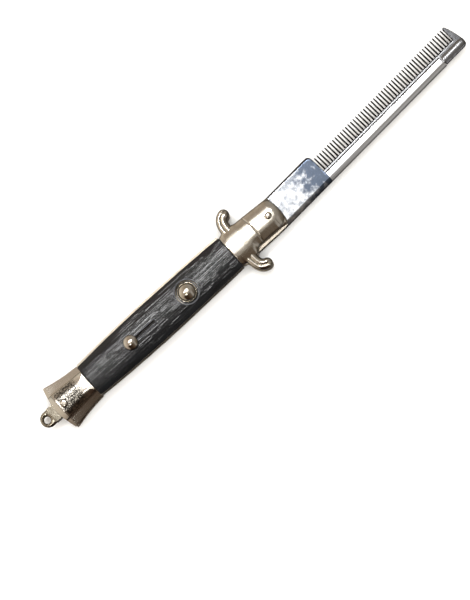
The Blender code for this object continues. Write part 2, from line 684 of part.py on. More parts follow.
def build_comb(handle, comb_steel, tooth_grey):
    """The folded sheet and the toothed plate in it, carried by the empty on the pivot."""
    pivot = new_empty("comb_pivot", (0.0, PIVOT_Y, 0.0), COMB_TILT_DEG, handle)
    sleeve = new_object("comb_sleeve", sleeve_shape(), comb_steel, pivot)
    combine(sleeve, channel_cutter(), "DIFFERENCE", "sleeve_channel", pivot)
    drill(sleeve, "sleeve_pivot_hole", PIVOT_PIN_RADIUS + PIN_CLEARANCE, 0.0, 0.0, pivot)
    teeth = new_object("comb_teeth", insert_shape(), tooth_grey, pivot)
    combine(teeth, end_ridge_shape(), "UNION", "end_ridge", pivot)
    drill(teeth, "insert_pivot_hole", PIVOT_PIN_RADIUS + PIN_CLEARANCE, 0.0, 0.0, pivot)


def centre_on_footprint(handle):
    """Move the handle so that the middle of the whole outline stands at X = 0, Y = 0."""
    bpy.context.view_layer.update()
    depsgraph = bpy.context.evaluated_depsgraph_get()
    corners = []
    for thing in bpy.context.scene.objects:
        if thing.type == "MESH" and not thing.hide_render:
            mesh = thing.evaluated_get(depsgraph).data
            points = np.empty(3 * len(mesh.vertices))
            mesh.vertices.foreach_get("co", points)
            points = points.reshape(-1, 3)
            world = np.array(thing.matrix_world)
            points = points @ world[:3, :3].T + world[:3, 3]
            corners += [points.min(axis=0), points.max(axis=0)]
    middle = 0.5 * (np.min(corners, axis=0) + np.max(corners, axis=0))
    handle.location.x -= middle[0]
    handle.location.y -= middle[1]
    bpy.context.view_layer.update()


def main():
    """Build the whole comb."""
    clear_scene()
    nickel = new_material("nickel_plate", (0.62, 0.57, 0.48), 1.0, 0.22)
    steel = new_material("liner_steel", (0.68, 0.66, 0.62), 1.0, 0.3)
    comb_steel = new_material("polished_steel", (0.72, 0.76, 0.82), 1.0, 0.18)
    tooth_grey = new_material("dark_teeth", (0.05, 0.05, 0.055), 0.3, 0.45)
    plastic = new_material("black_plastic", (0.03, 0.032, 0.035), 0.0, 0.45)
    handle = new_empty("handle", (0.0, 0.0, HALF_THICKNESS))
    build_handle(handle, nickel, plastic, steel)
    build_controls(handle, nickel)
    build_comb(handle, comb_steel, tooth_grey)
    centre_on_footprint(handle)


main()
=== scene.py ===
"""Looks of a folding pocket comb with a push-button handle, built round its fixed frame.

Sizes are in millimetres in the handle's own axes: X along the handle from the pivot to the
comb's tip, Y from the handle's centre line to the open side, Z from its middle plane to the
face with the button. in_handle() and in_comb() carry them into the frame's metres.
"""
import json
import math

import bpy
import numpy as np
from mathutils import Matrix


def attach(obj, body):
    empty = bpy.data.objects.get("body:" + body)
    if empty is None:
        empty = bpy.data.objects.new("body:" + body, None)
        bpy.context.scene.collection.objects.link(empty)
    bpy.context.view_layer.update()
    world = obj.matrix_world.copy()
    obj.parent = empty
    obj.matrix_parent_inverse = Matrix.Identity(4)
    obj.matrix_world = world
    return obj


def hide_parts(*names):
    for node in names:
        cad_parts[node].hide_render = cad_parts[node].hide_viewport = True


bl_info = {
    "name": "Folding pocket comb",
    "version": (1, 0, 0),
    "blender": (4, 5, 0),
    "location": "3D View > Sidebar > Comb",
    "description": "Dresses the frame of a folding comb in nickel, steel and bark-grained plastic",
    "category": "Object",
}

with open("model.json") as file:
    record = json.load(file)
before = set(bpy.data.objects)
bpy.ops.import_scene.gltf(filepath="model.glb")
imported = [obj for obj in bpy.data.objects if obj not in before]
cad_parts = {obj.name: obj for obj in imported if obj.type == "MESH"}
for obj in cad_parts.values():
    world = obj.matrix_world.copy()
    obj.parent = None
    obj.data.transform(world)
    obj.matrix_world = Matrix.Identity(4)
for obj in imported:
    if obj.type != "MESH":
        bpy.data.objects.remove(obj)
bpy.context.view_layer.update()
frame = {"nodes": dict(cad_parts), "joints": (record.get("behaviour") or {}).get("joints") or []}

MM = 0.001
PIVOT_Y = 0.4
PIVOT = np.array(next(j["pos_m"] for j in frame["joints"] if j["name"] == "comb_fold")) / MM
HANDLE_ORIGIN = PIVOT - (0.0, PIVOT_Y, 0.0)
COMB_TILT = math.radians(3.1)

# Layers and stations, as in the frame
COVER_BASE = 3.05
LINER_INNER = 1.95
CREST = 6.5
HEAD_REAR = -20.6
HEAD_FRONT = 4.1
HEAD_BOW = 0.8
SCALE_FRONT = -20.9
SCALE_REAR = -96.7
SCALE_MIDDLE = -62.0
SCALE_CREST = 6.3
POMMEL_FRONT = -97.0
POMMEL_CREST_END = -112.2
POMMEL_CORNER = -113.0
POMMEL_BOW = 1.6
CONTROL_Y = -0.3
BUTTON_X = -44.3
SAFETY_X = -74.3
POMMEL_PIN = (-110.2, -0.2)

# Hole, rim, slot and border of the controls on the front scale, and the dark floor under them: painted shade
# in the hole and the slot
BUTTON_BORE = 4.85
RIM_RADIUS = 5.07
RIM_HALF = 0.22
SLOT_REAR = -76.2
SLOT_FRONT = -61.4
SLOT_HALF = 0.75
BORDER_HALF = 0.2
RAISED = 0.2
SHADE_FLOOR_LOW = 2.78
SHADE_FLOOR_TOP = 2.93

# Holes round the pins
HEAD_BORE = 1.56
POMMEL_BORE = 1.7
COMB_BORE = 1.75

# Tail ring: middle and half width of its round end, and the middle of its hole
RING_X = -119.5
RING_HALF = 3.35
EYE_X = -120.1

# Comb, along and across its own line: spine, open edge of the sheet, the plate that shows as a line
# beyond it, the sheet's edge along the teeth, its two ends, and the middle of the tang
SPINE = -8.12
SHEET_TOP = 5.68
PLATE_TOP = 6.25
SHEET_STEP = -3.85
RICASSO_END = 28.5
SHEET_END = 93.2
TANG_MIDDLE = 0.5 * (PLATE_TOP + SPINE)

# Middle line of the ridge beyond the sheet, and the thin teeth
RIDGE_LINE = -5.6
FIRST_TOOTH = 29.6
TOOTH_PITCH = 1.463
TOOTH_COUNT = 50
TOOTH_ROOT = -3.1
TOOTH_TIP = 3.95

# Half width of a guard finger at its root and at its round tip
FINGER_ROOT = 2.65
FINGER_TIP = 2.23

# How far a scale reaches into the gap that the frame leaves at each bolster
SEAM_FILL = 0.25

# Half width of the level part of a head bolster, and the reach of the flank beyond it
HEAD_CREST = 1.2
HEAD_FLANK = 5.6

# Arched seam across a head bolster: place of its ends, rise of the arch, half width of the groove
SEAM_X = -8.3
SEAM_ARCH = 0.6
SEAM_HALF = 0.24

# Rounding of a scale's ends, pitch of the bark's ridges and length of their dashes
SCALE_ROUND = 0.45
BARK_PITCH = 0.74
BARK_DASH = 4.6

# Height of the camera's sensor
SENSOR_HEIGHT = 36.0

# Samples round the section of a cover
WALL_STEPS = 6
SHOULDER_STEPS = 14
FLANK_STEPS = 30
CREST_STEPS = 26
UNDER_STEPS = 8


def in_handle(points):
    """Millimetres in the handle's axes to metres in the frame."""
    return (np.asarray(points) + HANDLE_ORIGIN) * MM


def in_comb(points):
    """Millimetres along and across the comb to metres: a turn about the pivot, then a shift."""
    points = np.asarray(points)
    along, across = points[..., 0], points[..., 1]
    turned = np.stack([along * math.cos(COMB_TILT) - across * math.sin(COMB_TILT),
                       along * math.sin(COMB_TILT) + across * math.cos(COMB_TILT),
                       points[..., 2]], axis=-1)
    return (turned + PIVOT) * MM


def lattice_noise(u, v, seed):
    """Smooth noise from -1 to 1: random values on whole numbers, joined by 3t^2 - 2t^3 each way."""
    cells = np.random.default_rng(seed).uniform(-1.0, 1.0, (128, 128))
    iu = np.floor(u).astype(int)
    iv = np.floor(v).astype(int)
    fu = (u - iu) ** 2 * (3.0 - 2.0 * (u - iu))
    fv = (v - iv) ** 2 * (3.0 - 2.0 * (v - iv))
    low = cells[iu % 128, iv % 128] * (1.0 - fu) + cells[(iu + 1) % 128, iv % 128] * fu
    high = cells[iu % 128, (iv + 1) % 128] * (1.0 - fu) + cells[(iu + 1) % 128, (iv + 1) % 128] * fu
    return low * (1.0 - fv) + high * fv


def eased(x, stations, values, reach):
    """Straight lines through the stations, rounded over by a bell curve of the given reach."""
    order = np.argsort(stations)
    fine = np.arange(min(stations) - 4.0 * reach, max(stations) + 4.0 * reach, 0.2 * reach)
    level = np.interp(fine, np.array(stations)[order], np.array(values, float)[order])
    bell = np.exp(-0.5 * (np.arange(-15, 16) * 0.2) ** 2)
    level = np.convolve(np.pad(level, 15, mode="edge"), bell / bell.sum(), mode="valid")
    return np.interp(x, fine, level)


def edge_round(distance, radius):
    """How far a rounded edge lies inside the full form: a quarter circle of that radius."""
    share = np.clip(1.0 - distance / radius, 0.0, 1.0)
    return radius * (1.0 - np.sqrt(1.0 - share * share))


def soften(rings, times):
    """Round the corners of closed rings: each point moves to 1-2-1 of itself and its neighbours."""
    for _ in range(times):
        rings = 0.25 * np.roll(rings, 1, axis=1) + 0.5 * rings + 0.25 * np.roll(rings, -1, axis=1)
    return rings


def clustered(low, high, count, ends=0.35):
    """Stations from low to high, closer together near both ends."""
    t = np.linspace(0.0, 1.0, count)
    return low + (high - low) * ((1.0 - ends) * t + ends * 0.5 * (1.0 - np.cos(math.pi * t)))


def full_turn(count):
    """Evenly spaced angles once round a circle."""
    return np.linspace(0.0, 2.0 * math.pi, count, endpoint=False)


def unit(vectors):
    """Vectors along the last axis, each scaled to length one."""
    return vectors / np.linalg.norm(vectors, axis=-1, keepdims=True)


def at_height(outline, height):
    """The points of a flat outline, all at one height."""
    return np.column_stack([outline, np.full(len(outline), height)])


def turned_out(points, quads, triangles, flats):
    """Points and faces; the faces turn round if the volume inside, the sum of a . (b x c), is negative."""
    place = points - points.mean(axis=0)
    halves = np.concatenate([quads[:, [0, 1, 2]], quads[:, [0, 2, 3]], triangles])
    a, b, c = (place[halves[:, k]] for k in range(3))
    faces = quads.tolist() + triangles.tolist() + flats
    if np.einsum("ij,ij->", a, np.cross(b, c)) < 0.0:
        faces = [face[::-1] for face in faces]
    return points, faces


def ring_quads(rows, columns, spans):
    """Quads between each of the first spans rings and the next; the last ring is followed by the first."""
    row = np.arange(spans)[:, None]
    here = np.arange(columns)[None, :]
    there = (here + 1) % columns
    after = (row + 1) % rows
    return np.stack([row * columns + here, row * columns + there,
                     after * columns + there, after * columns + here], -1).reshape(-1, 4)


def skin(rings, hubs=None):
    """Closed body through rings of points, with a fan about a hub, or one flat face, at each end."""
    rows, columns = rings.shape[:2]
    points = rings.reshape(-1, 3)
    edge = np.arange(columns)
    last = (rows - 1) * columns + edge
    triangles = np.zeros((0, 3), int)
    flats = []
    if hubs is None:
        flats = [edge[::-1].tolist(), last.tolist()]
    else:
        first_fan = np.stack([np.roll(edge, -1), edge, np.full(columns, len(points))], -1)
        last_fan = np.stack([np.full(columns, len(points) + 1), last, np.roll(last, -1)], -1)
        triangles = np.concatenate([first_fan, last_fan])
        points = np.concatenate([points, np.asarray(hubs, float)])
    return turned_out(points, ring_quads(rows, columns, rows - 1), triangles, flats)


def belt(rings):
    """Closed band through rings of points whose last ring joins the first."""
    rows, columns = rings.shape[:2]
    return turned_out(rings.reshape(-1, 3), ring_quads(rows, columns, rows), np.zeros((0, 3), int), [])


def lathe(profile, x=0.0, y=0.0, segments=72):
    """A profile of (radius, height) pairs turned about an upright axis; it ends on that axis."""
    profile = np.asarray(profile, float)
    angles = full_turn(segments)
    radius = profile[1:-1, 0][:, None]
    rings = np.stack([x + radius * np.cos(angles), y + radius * np.sin(angles),
                      profile[1:-1, 1][:, None] + 0.0 * angles], axis=-1)
    return skin(rings, [(x, y, profile[0, 1]), (x, y, profile[-1, 1])])


def hoop(section, x, y, segments=96):
    """A closed section of (radius, height) points turned about an upright axis: a ring."""
    section = np.asarray(section, float)
    angles = full_turn(segments)[:, None]
    rings = np.stack([x + section[:, 0] * np.cos(angles), y + section[:, 0] * np.sin(angles),
                      section[:, 1] + 0.0 * angles], axis=-1)
    return belt(rings)


def inset(outline, distance):
    """A closed counter-clockwise outline moved inwards, each point along its mitre."""
    after = unit(np.roll(outline, -1, axis=0) - outline)
    middle = unit(after + np.roll(after, 1, axis=0))
    inward = np.stack([-middle[:, 1], middle[:, 0]], axis=-1)
    spread = np.clip(np.einsum("ij,ij->i", middle, after), 0.5, 1.0)
    return outline + inward * (distance / spread)[:, None]


def slab(outline, low, high, radius, steps=7, rim=0.06):
    """A flat plate from a closed outline whose upper and lower edges are rounded by a quarter circle."""
    rise = radius * (1.0 - np.cos(np.linspace(0.0, 0.5 * math.pi, steps)))
    gaps = radius * (1.0 - np.sin(np.linspace(0.0, 0.5 * math.pi, steps)))
    gaps = np.concatenate([[radius + rim], gaps, gaps[::-1], [radius + rim]])
    heights = np.concatenate([[low], low + rise, high - rise[::-1], [high]])
    return skin(np.stack([at_height(inset(outline, gap), height) for gap, height in zip(gaps, heights)]))


def smooth_curve(points, per_span=6):
    """Catmull-Rom curve through the points, ends kept: four neighbours weighted by cubics."""
    points = np.asarray(points, float)
    padded = np.concatenate([2.0 * points[:1] - points[1:2], points, 2.0 * points[-1:] - points[-2:-1]])
    t = np.linspace(0.0, 1.0, per_span, endpoint=False)[None, :, None]
    a, b, c, d = (padded[k:len(padded) - 3 + k][:, None, :] for k in range(4))
    spans = 0.5 * (2.0 * b + (c - a) * t + (2.0 * a - 5.0 * b + 4.0 * c - d) * t ** 2
                   + (3.0 * b - a - 3.0 * c + d) * t ** 3)
    return np.concatenate([spans.reshape(-1, 2), points[-1:]])


def linked(name, data):
    """A new object with that data, in the scene."""
    thing = bpy.data.objects.new(name, data)
    bpy.context.scene.collection.objects.link(thing)
    return thing


def gathered(name, shells, place):
    """One object from several closed shells of (points, faces)."""
    points = np.concatenate([shell[0] for shell in shells])
    faces = []
    count = 0
    for shell_points, shell_faces in shells:
        faces += [[count + index for index in face] for face in shell_faces]
        count += len(shell_points)
    mesh = bpy.data.meshes.new(name)
    mesh.from_pydata(place(points).tolist(), [], faces)
    mesh.update()
    return linked(name, mesh)


def carve(piece, shell, place, operation="DIFFERENCE"):
    """Apply one exact Boolean between a piece and a closed shell."""
    helper = gathered("helper", [shell], place)
    boolean = piece.modifiers.new("carve", "BOOLEAN")
    boolean.object = helper
    boolean.operation = operation
    boolean.solver = "EXACT"
    bpy.context.view_layer.update()
    evaluated = piece.evaluated_get(bpy.context.evaluated_depsgraph_get())
    mesh = bpy.data.meshes.new_from_object(evaluated)
    piece.modifiers.clear()
    piece.data = mesh
    bpy.data.objects.remove(helper, do_unlink=True)


def dress(piece, material, body, replaced=(), sharp_deg=35.0):
    """Shade a finished piece, give it its finish and hang it on its body."""
    piece.data.shade_smooth()
    piece.data.set_sharp_from_angle(angle=math.radians(sharp_deg))
    piece.data.materials.clear()
    piece.data.materials.append(material)
    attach(piece, body)
    if replaced:
        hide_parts(*replaced)


def linear(hex_colour):
    """An sRGB hex colour as linear red, green, blue and a full alpha."""
    channels = [int(hex_colour[k:k + 2], 16) / 255.0 for k in (1, 3, 5)]
    return [c / 12.92 if c <= 0.04045 else ((c + 0.055) / 1.055) ** 2.4 for c in channels] + [1.0]


def add(tree, kind, values=None, stops=(), **settings):
    """Add a node; set its properties, its inputs and a ramp's stops of (position, hex colour).

    An input takes a number, an output, or a node, which stands for its first output.
    """
    node = tree.nodes.new(kind)
    for key, value in settings.items():
        setattr(node, key, value)
    for key, value in (values or {}).items():
        if isinstance(value, bpy.types.Node):
            value = value.outputs[0]
        if isinstance(value, bpy.types.NodeSocket):
            tree.links.new(value, node.inputs[key])
        else:
            node.inputs[key].default_value = value
    if stops:
        ramp = node.color_ramp.elements
        for stop, (position, colour) in zip(ramp, (stops[0], stops[-1])):
            stop.position = position
            stop.color = linear(colour)
        for position, colour in stops[1:-1]:
            ramp.new(position).color = linear(colour)
    return node


def empty_material(name):
    """A material, its node tree and a node with object coordinates in millimetres."""
    material = bpy.data.materials.new(name)
    material.use_nodes = True
    tree = material.node_tree
    tree.nodes.clear()
    coordinates = add(tree, "ShaderNodeTexCoord")
    in_mm = add(tree, "ShaderNodeMapping", {"Vector": coordinates.outputs["Object"],
                                            "Scale": (1.0 / MM,) * 3})
    return material, tree, in_mm


# Fineness of the patterns, in features for each millimetre
CLOUDS = 0.42
SAND = 1.5
HAIRS = 2.0
SPECKS = 3.0
BARK_HAIRS = (0.09, 2.8, 2.8)

# Depth of hairline scratches, and of the fine grain of moulded plastic
HAIR_DEPTH = 0.01
SPECK_DEPTH = 0.004


def polished_metal(name, colour, clouds_and_shade_colour, roughness, wave_mm, wave_height, scratch=(0.05, 2.5, 2.5),
                   grit=0.01, reflection_shade_span=None, grit_zone=None):
    """A bright metal: slow waves in the surface, cloudy tone, hairline scratches and a fine grit.

    wave_mm is the length of the waves left by casting or rolling; wave_height and grit are heights in mm.
    scratch is how fine the hairlines are along each axis. A span (X, X), when given, darkens the cloudy
    patches more and more along it, with the cube of the way: painted darker reflection. grit_zone = (X, X, Z)
    keeps the grit and the darker tone to the metal between those two X and above that Z.
    """
    material, tree, place = empty_material(name)
    axes = add(tree, "ShaderNodeSeparateXYZ", {"Vector": place})
    patches = add(tree, "ShaderNodeTexNoise", {"Vector": place, "Scale": CLOUDS, "Detail": 5.0,
                                               "Roughness": 0.62})
    # Painted darker reflection: along the span the cloudy patches darken with the cube of the way to its
    # front end
    if reflection_shade_span is not None:
        start, end = reflection_shade_span
        share = add(tree, "ShaderNodeMapRange", {"Value": axes.outputs["X"], "From Min": start,
                                                 "From Max": end})
        cubed = add(tree, "ShaderNodeMath", {0: share, 1: 3.0}, operation="POWER")
        grown = add(tree, "ShaderNodeMath", {0: cubed, 1: 1.5, 2: 1.08}, operation="MULTIPLY_ADD")
        inside = add(tree, "ShaderNodeMath", {0: axes.outputs["X"], 1: 0.5 * (start + end),
                                              2: 0.5 * (end - start)}, operation="COMPARE")
        weight = add(tree, "ShaderNodeMath", {0: grown, 1: inside}, operation="MULTIPLY")
        patches = add(tree, "ShaderNodeMath", {0: patches, 1: weight}, operation="MULTIPLY")
    grains = add(tree, "ShaderNodeTexNoise", {"Vector": place, "Scale": SAND, "Detail": 3.0,
                                              "Roughness": 0.6})
    if grit_zone is not None:
        # Inside the zone the grains pull the tone towards the dark colour: rough grain, with painted shade
        # that dims the pommel crest's reflection
        rear, front, level = grit_zone
        zone = add(tree, "ShaderNodeMapRange", {"Value": axes.outputs["X"], "From Min": front - 1.5,
                                                "From Max": front + 2.5, "To Min": 1.0, "To Max": 0.0})
        for axis, start, reach in (("X", rear, 0.8), ("Z", level, 1.3)):
            zone = add(tree, "ShaderNodeMapRange", {"Value": axes.outputs[axis], "From Min": start,
                                                    "From Max": start + reach, "To Max": zone})
        grains = add(tree, "ShaderNodeMath", {0: grains, 1: zone}, operation="MULTIPLY")
        patches = add(tree, "ShaderNodeMath", {0: grains, 1: 1.7, 2: -0.12}, operation="MULTIPLY_ADD")
    lengthwise = add(tree, "ShaderNodeMapping", {"Vector": place, "Scale": scratch})
    hairs = add(tree, "ShaderNodeTexNoise", {"Vector": lengthwise, "Scale": HAIRS, "Detail": 5.0,
                                             "Roughness": 0.7})
    waves = add(tree, "ShaderNodeTexNoise", {"Vector": place, "Scale": 1.0 / wave_mm, "Detail": 2.0})
    tone = add(tree, "ShaderNodeValToRGB", {"Fac": patches}, ((0.3, colour), (0.9, clouds_and_shade_colour)))
    dullness = add(tree, "ShaderNodeMapRange", {"Value": hairs, "From Min": 0.3, "From Max": 0.75,
                                                "To Min": roughness * 0.75, "To Max": roughness * 1.35})
    relief = {}
    for height, strength, depth in ((waves, 1.0, wave_height), (hairs, 0.25, HAIR_DEPTH),
                                    (grains, 1.0, grit)):
        bump = {"Height": height, "Strength": strength, "Distance": depth * MM}
        relief = {"Normal": add(tree, "ShaderNodeBump", bump | relief)}
    shader = add(tree, "ShaderNodeBsdfPrincipled", {"Base Color": tone, "Metallic": 1.0,
                                                    "Roughness": dullness} | relief)
    add(tree, "ShaderNodeOutputMaterial", {"Surface": shader})
    return material


def bark_plastic(name, colour, worn_colour, roughness, grain_height):
    """Moulded black ABS: dull skin in the grooves, a low gloss where hands have rubbed the ridges."""
    material, tree, place = empty_material(name)
    lengthwise = add(tree, "ShaderNodeMapping", {"Vector": place, "Scale": BARK_HAIRS})
    grain = add(tree, "ShaderNodeTexNoise", {"Vector": lengthwise, "Scale": 1.0, "Detail": 2.0,
                                             "Roughness": 0.5})
    specks = add(tree, "ShaderNodeTexNoise", {"Vector": place, "Scale": SPECKS, "Detail": 2.0})
    tone = add(tree, "ShaderNodeValToRGB", {"Fac": grain}, ((0.35, colour), (0.75, worn_colour)))
    gloss = add(tree, "ShaderNodeMapRange", {"Value": specks, "From Min": 0.3, "From Max": 0.7,
                                             "To Min": roughness, "To Max": roughness * 1.5})
    ridges = add(tree, "ShaderNodeBump", {"Height": grain, "Strength": 1.0, "Distance": grain_height * MM})
    relief = add(tree, "ShaderNodeBump", {"Height": specks, "Strength": 0.3, "Distance": SPECK_DEPTH * MM,
                                          "Normal": ridges})
    shader = add(tree, "ShaderNodeBsdfPrincipled", {"Base Color": tone, "Roughness": gloss, "Normal": relief,
                                                    "IOR": 1.53})
    add(tree, "ShaderNodeOutputMaterial", {"Surface": shader})
    return material


FINISHES = {}


def finish(name):
    """The material of that name, made once from the colours in the panel."""
    if name in FINISHES:
        return FINISHES[name]
    looks = bpy.context.scene.comb_finish
    metals = {
        # Bright nickel over cast zinc: warm, with soft waves from the casting under the plate
        "cast_nickel": dict(colour=looks.nickel, clouds_and_shade_colour=looks.nickel_clouds_and_ring_shade, roughness=0.16,
                            wave_mm=2.6, wave_height=0.025, grit=0.02),
        # The same plate where the casting was left rougher, on the pommel; its crest's dark speckle is rough
        # grain, with a dark tone that is painted shade dimming the crest's reflection
        "rough_nickel": dict(colour=looks.nickel, clouds_and_shade_colour=looks.nickel_rough_and_shade, roughness=0.18,
                             wave_mm=2.6, wave_height=0.02, grit=0.05, grit_zone=(-103.4, -92.4, 10.9)),
        # Nickel in darker tones on the tail ring: painted shade standing in for the dark reflections of its
        # rounded section
        "ring_shaded_nickel": dict(colour=looks.nickel_clouds_and_ring_shade, clouds_and_shade_colour=looks.nickel_ring_shade, roughness=0.13,
                            wave_mm=2.0, wave_height=0.03, grit=0.012),
        # Nickel on turned pins and knobs: smoother than the castings
        "turned_nickel": dict(colour=looks.nickel, clouds_and_shade_colour=looks.nickel_clouds_and_ring_shade, roughness=0.11,
                              wave_mm=4.0, wave_height=0.006, grit=0.003),
        # Cold-rolled steel sheet, polished along the blade: cooler and flatter; its cloudy patches darken
        # towards the front of the ricasso, a painted darker reflection
        "sheet_steel": dict(colour=looks.steel, clouds_and_shade_colour=looks.steel_clouds_and_shade, roughness=0.13,
                            wave_mm=3.2, wave_height=0.012, scratch=(0.03, 4.0, 2.0), reflection_shade_span=(10.0, 37.4)),
        # Blanked steel strip with a bright edge
        "liner_steel": dict(colour=looks.liner, clouds_and_shade_colour=looks.liner, roughness=0.36,
                            wave_mm=3.0, wave_height=0.015, scratch=(0.05, 3.0, 6.0)),
        # Stamped steel plate that carries the teeth
        "plate_steel": dict(colour=looks.plate, clouds_and_shade_colour=looks.plate, roughness=0.26,
                            wave_mm=1.8, wave_height=0.012, scratch=(0.1, 2.0, 2.5), grit=0.006),
        # The same steel in a darker grey on the thick end tooth: painted darker reflection
        "end_tooth_shaded_steel": dict(colour=looks.plate_end_shade, clouds_and_shade_colour=looks.teeth, roughness=0.3,
                          wave_mm=1.8, wave_height=0.012, scratch=(0.1, 2.0, 2.5), grit=0.006),
        # Steel painted near black on the thin teeth, the tang and the seam lines: painted dark reflection on
        # the teeth, painted shadow along the tang's edge and the seams
        "tooth_steel": dict(colour=looks.teeth, clouds_and_shade_colour=looks.teeth, roughness=0.34,
                            wave_mm=1.4, wave_height=0.01, scratch=(2.5, 0.2, 2.5)),
    }
    plastics = {
        # Black ABS with the moulded bark grain
        "bark_abs": dict(colour=looks.plastic, worn_colour=looks.plastic_worn, roughness=0.155,
                         grain_height=0.04),
        # The same ABS painted grey on the raised rims round the button and the slot: painted highlight along
        # them
        "rim_highlight_abs": dict(colour=looks.plastic_rim_highlight, worn_colour=looks.plastic_rim_highlight, roughness=0.22,
                           grain_height=0.015),
    }
    if name in metals:
        FINISHES[name] = polished_metal(name, **metals[name])
    else:
        FINISHES[name] = bark_plastic(name, **plastics[name])
    return FINISHES[name]


def half_section(half, wall, crest_half, crest, shoulder, shoulder_z, flank_steps):
    """Y and Z from the outer foot up to the crest: wall, flat shoulder, elliptical flank.

    Every argument is an array over the stations; the result has one row for each.
    """
    up = np.linspace(0.0, 1.0, WALL_STEPS, endpoint=False)
    across = np.linspace(0.0, 1.0, SHOULDER_STEPS, endpoint=False)
    angle = np.linspace(0.0, 0.5 * math.pi, flank_steps)
    y = [half[:, None] + 0.0 * up]
    z = [COVER_BASE + (wall - COVER_BASE)[:, None] * up]
    if np.any(half - shoulder > 0.01):
        y.append(half[:, None] + (shoulder - half)[:, None] * across)
        z.append(wall[:, None] + (shoulder_z - wall)[:, None] * across)
    y.append(crest_half[:, None] + (shoulder - crest_half)[:, None] * np.cos(angle))
    z.append(shoulder_z[:, None] + (crest - shoulder_z)[:, None] * np.sin(angle))
    return np.concatenate(y, axis=1), np.concatenate(z, axis=1)


def cover_rings(x, minus, plus, wall, crest_half, crest, shoulders=None, bow=0.0,
                flank_steps=FLANK_STEPS, crest_steps=CREST_STEPS):
    """Closed sections of a bolster or scale at the stations x.

    minus and plus are half widths, shoulders = (minus shoulder, plus shoulder, height).
    bow moves a station along X by bow (1 - (y / half)^2).
    """
    if shoulders is None:
        shoulders = (minus, plus, wall)
    y_plus, z_plus = half_section(plus, wall, crest_half, crest, shoulders[1], shoulders[2], flank_steps)
    y_minus, z_minus = half_section(minus, wall, crest_half, crest, shoulders[0], shoulders[2], flank_steps)
    over = np.linspace(1.0, -1.0, crest_steps + 2)[1:-1]
    under = np.linspace(0.0, 1.0, UNDER_STEPS + 2)[1:-1]
    y = np.concatenate([y_plus, crest_half[:, None] * over, -y_minus[:, ::-1],
                        -minus[:, None] + (plus + minus)[:, None] * under], axis=1)
    z = np.concatenate([z_plus, crest[:, None] + 0.0 * over, z_minus[:, ::-1],
                        COVER_BASE + 0.0 * minus[:, None] * under], axis=1)
    middle = 0.5 * (plus - minus)[:, None]
    half = 0.5 * (plus + minus)[:, None]
    along = x[:, None] + np.asarray(bow).reshape(-1, 1) * (1.0 - ((y - middle) / half) ** 2)
    return np.stack([along, y, z], axis=-1)


def capped(rings):
    """Close a cover with a fan at each end, about a hub at the middle of that end's box."""
    return skin(rings, [0.5 * (ring.min(axis=0) + ring.max(axis=0)) for ring in (rings[0], rings[-1])])


def mirrored(rings):
    """The same form on the back face: heights turned round."""
    return rings * (1.0, 1.0, -1.0)


def bark(x, y, depth):
    """Height of the bark grain: straight lengthwise ridges that start and stop, lower to the rear.

    The face is laid out in strips along X. A ridge is a parabola across its strip, and noise with
    its own values for each strip raises and lowers it along X; drift makes the strips uneven.
    """
    drift = 0.3 * lattice_noise(x / 34.0, y / 1.1, 11)
    strips = (y + drift) / BARK_PITCH
    index = np.floor(strips)
    ridge = 1.0 - (2.0 * (strips - index) - 1.0) ** 2
    dash = np.clip(2.6 * lattice_noise(x / BARK_DASH, index, 12) + 0.6, 0.0, 1.0)
    gate = 0.95 + 0.35 * lattice_noise(x / 9.0 + 3.0, y / 5.0 + 7.0, 15)
    fade = np.interp(x, [-97.0, -80.0, -60.0, -21.0], [0.5, 0.6, 0.95, 1.0])
    return depth * fade * gate * (ridge * (0.3 + 0.7 * dash) - 0.45)


def scale_half(x):
    """Half width of a scale: a barrel outline, one parabola each side of its widest place."""
    front = 8.3 - 0.75 * ((x - SCALE_MIDDLE) / (SCALE_FRONT - SCALE_MIDDLE)) ** 2
    rear = 8.3 - 1.0 * ((x - SCALE_MIDDLE) / (SCALE_REAR - SCALE_MIDDLE)) ** 2
    return np.where(x > SCALE_MIDDLE, front, rear)


def scale_rings(depth):
    """A scale: level crest, elliptical flanks, rounded ends, and the bark grain along its normals."""
    rear, front = SCALE_REAR - SEAM_FILL, SCALE_FRONT + SEAM_FILL
    x = clustered(rear, front, 400, 0.12)
    close = edge_round(np.minimum(x - rear, front - x), SCALE_ROUND)
    half = scale_half(x) - 0.6 * close
    crest = SCALE_CREST - depth * 0.6 - 0.6 * close
    wall = 3.75 - 0.3 * close
    rings = soften(cover_rings(x, half, half, wall, 0.3 + 0.0 * x, crest, flank_steps=92, crest_steps=8), 1)
    along = np.gradient(rings, axis=0)
    around = np.gradient(rings, axis=1)
    normal = np.cross(along, around)
    normal /= np.maximum(np.linalg.norm(normal, axis=2), 1e-9)[..., None]
    normal *= np.where(np.sum(normal * (0.0, 0.0, 1.0), axis=2).mean() < 0.0, -1.0, 1.0)
    top = np.clip((rings[..., 2] - 3.3) / 0.6, 0.0, 1.0)
    lift = bark(rings[..., 0], rings[..., 1], depth) * top * (1.0 - close / SCALE_ROUND)[:, None]
    sign = np.where(normal[..., 2:3] >= -0.3, 1.0, 0.0)
    return rings + normal * lift[..., None] * sign


def pommel_half(x):
    """Half width of the pommel bolster: it widens with the square of the way to the end."""
    share = (POMMEL_FRONT - x) / (POMMEL_FRONT - POMMEL_CREST_END)
    return 7.8 + 0.5 * share + 1.75 * share ** 2


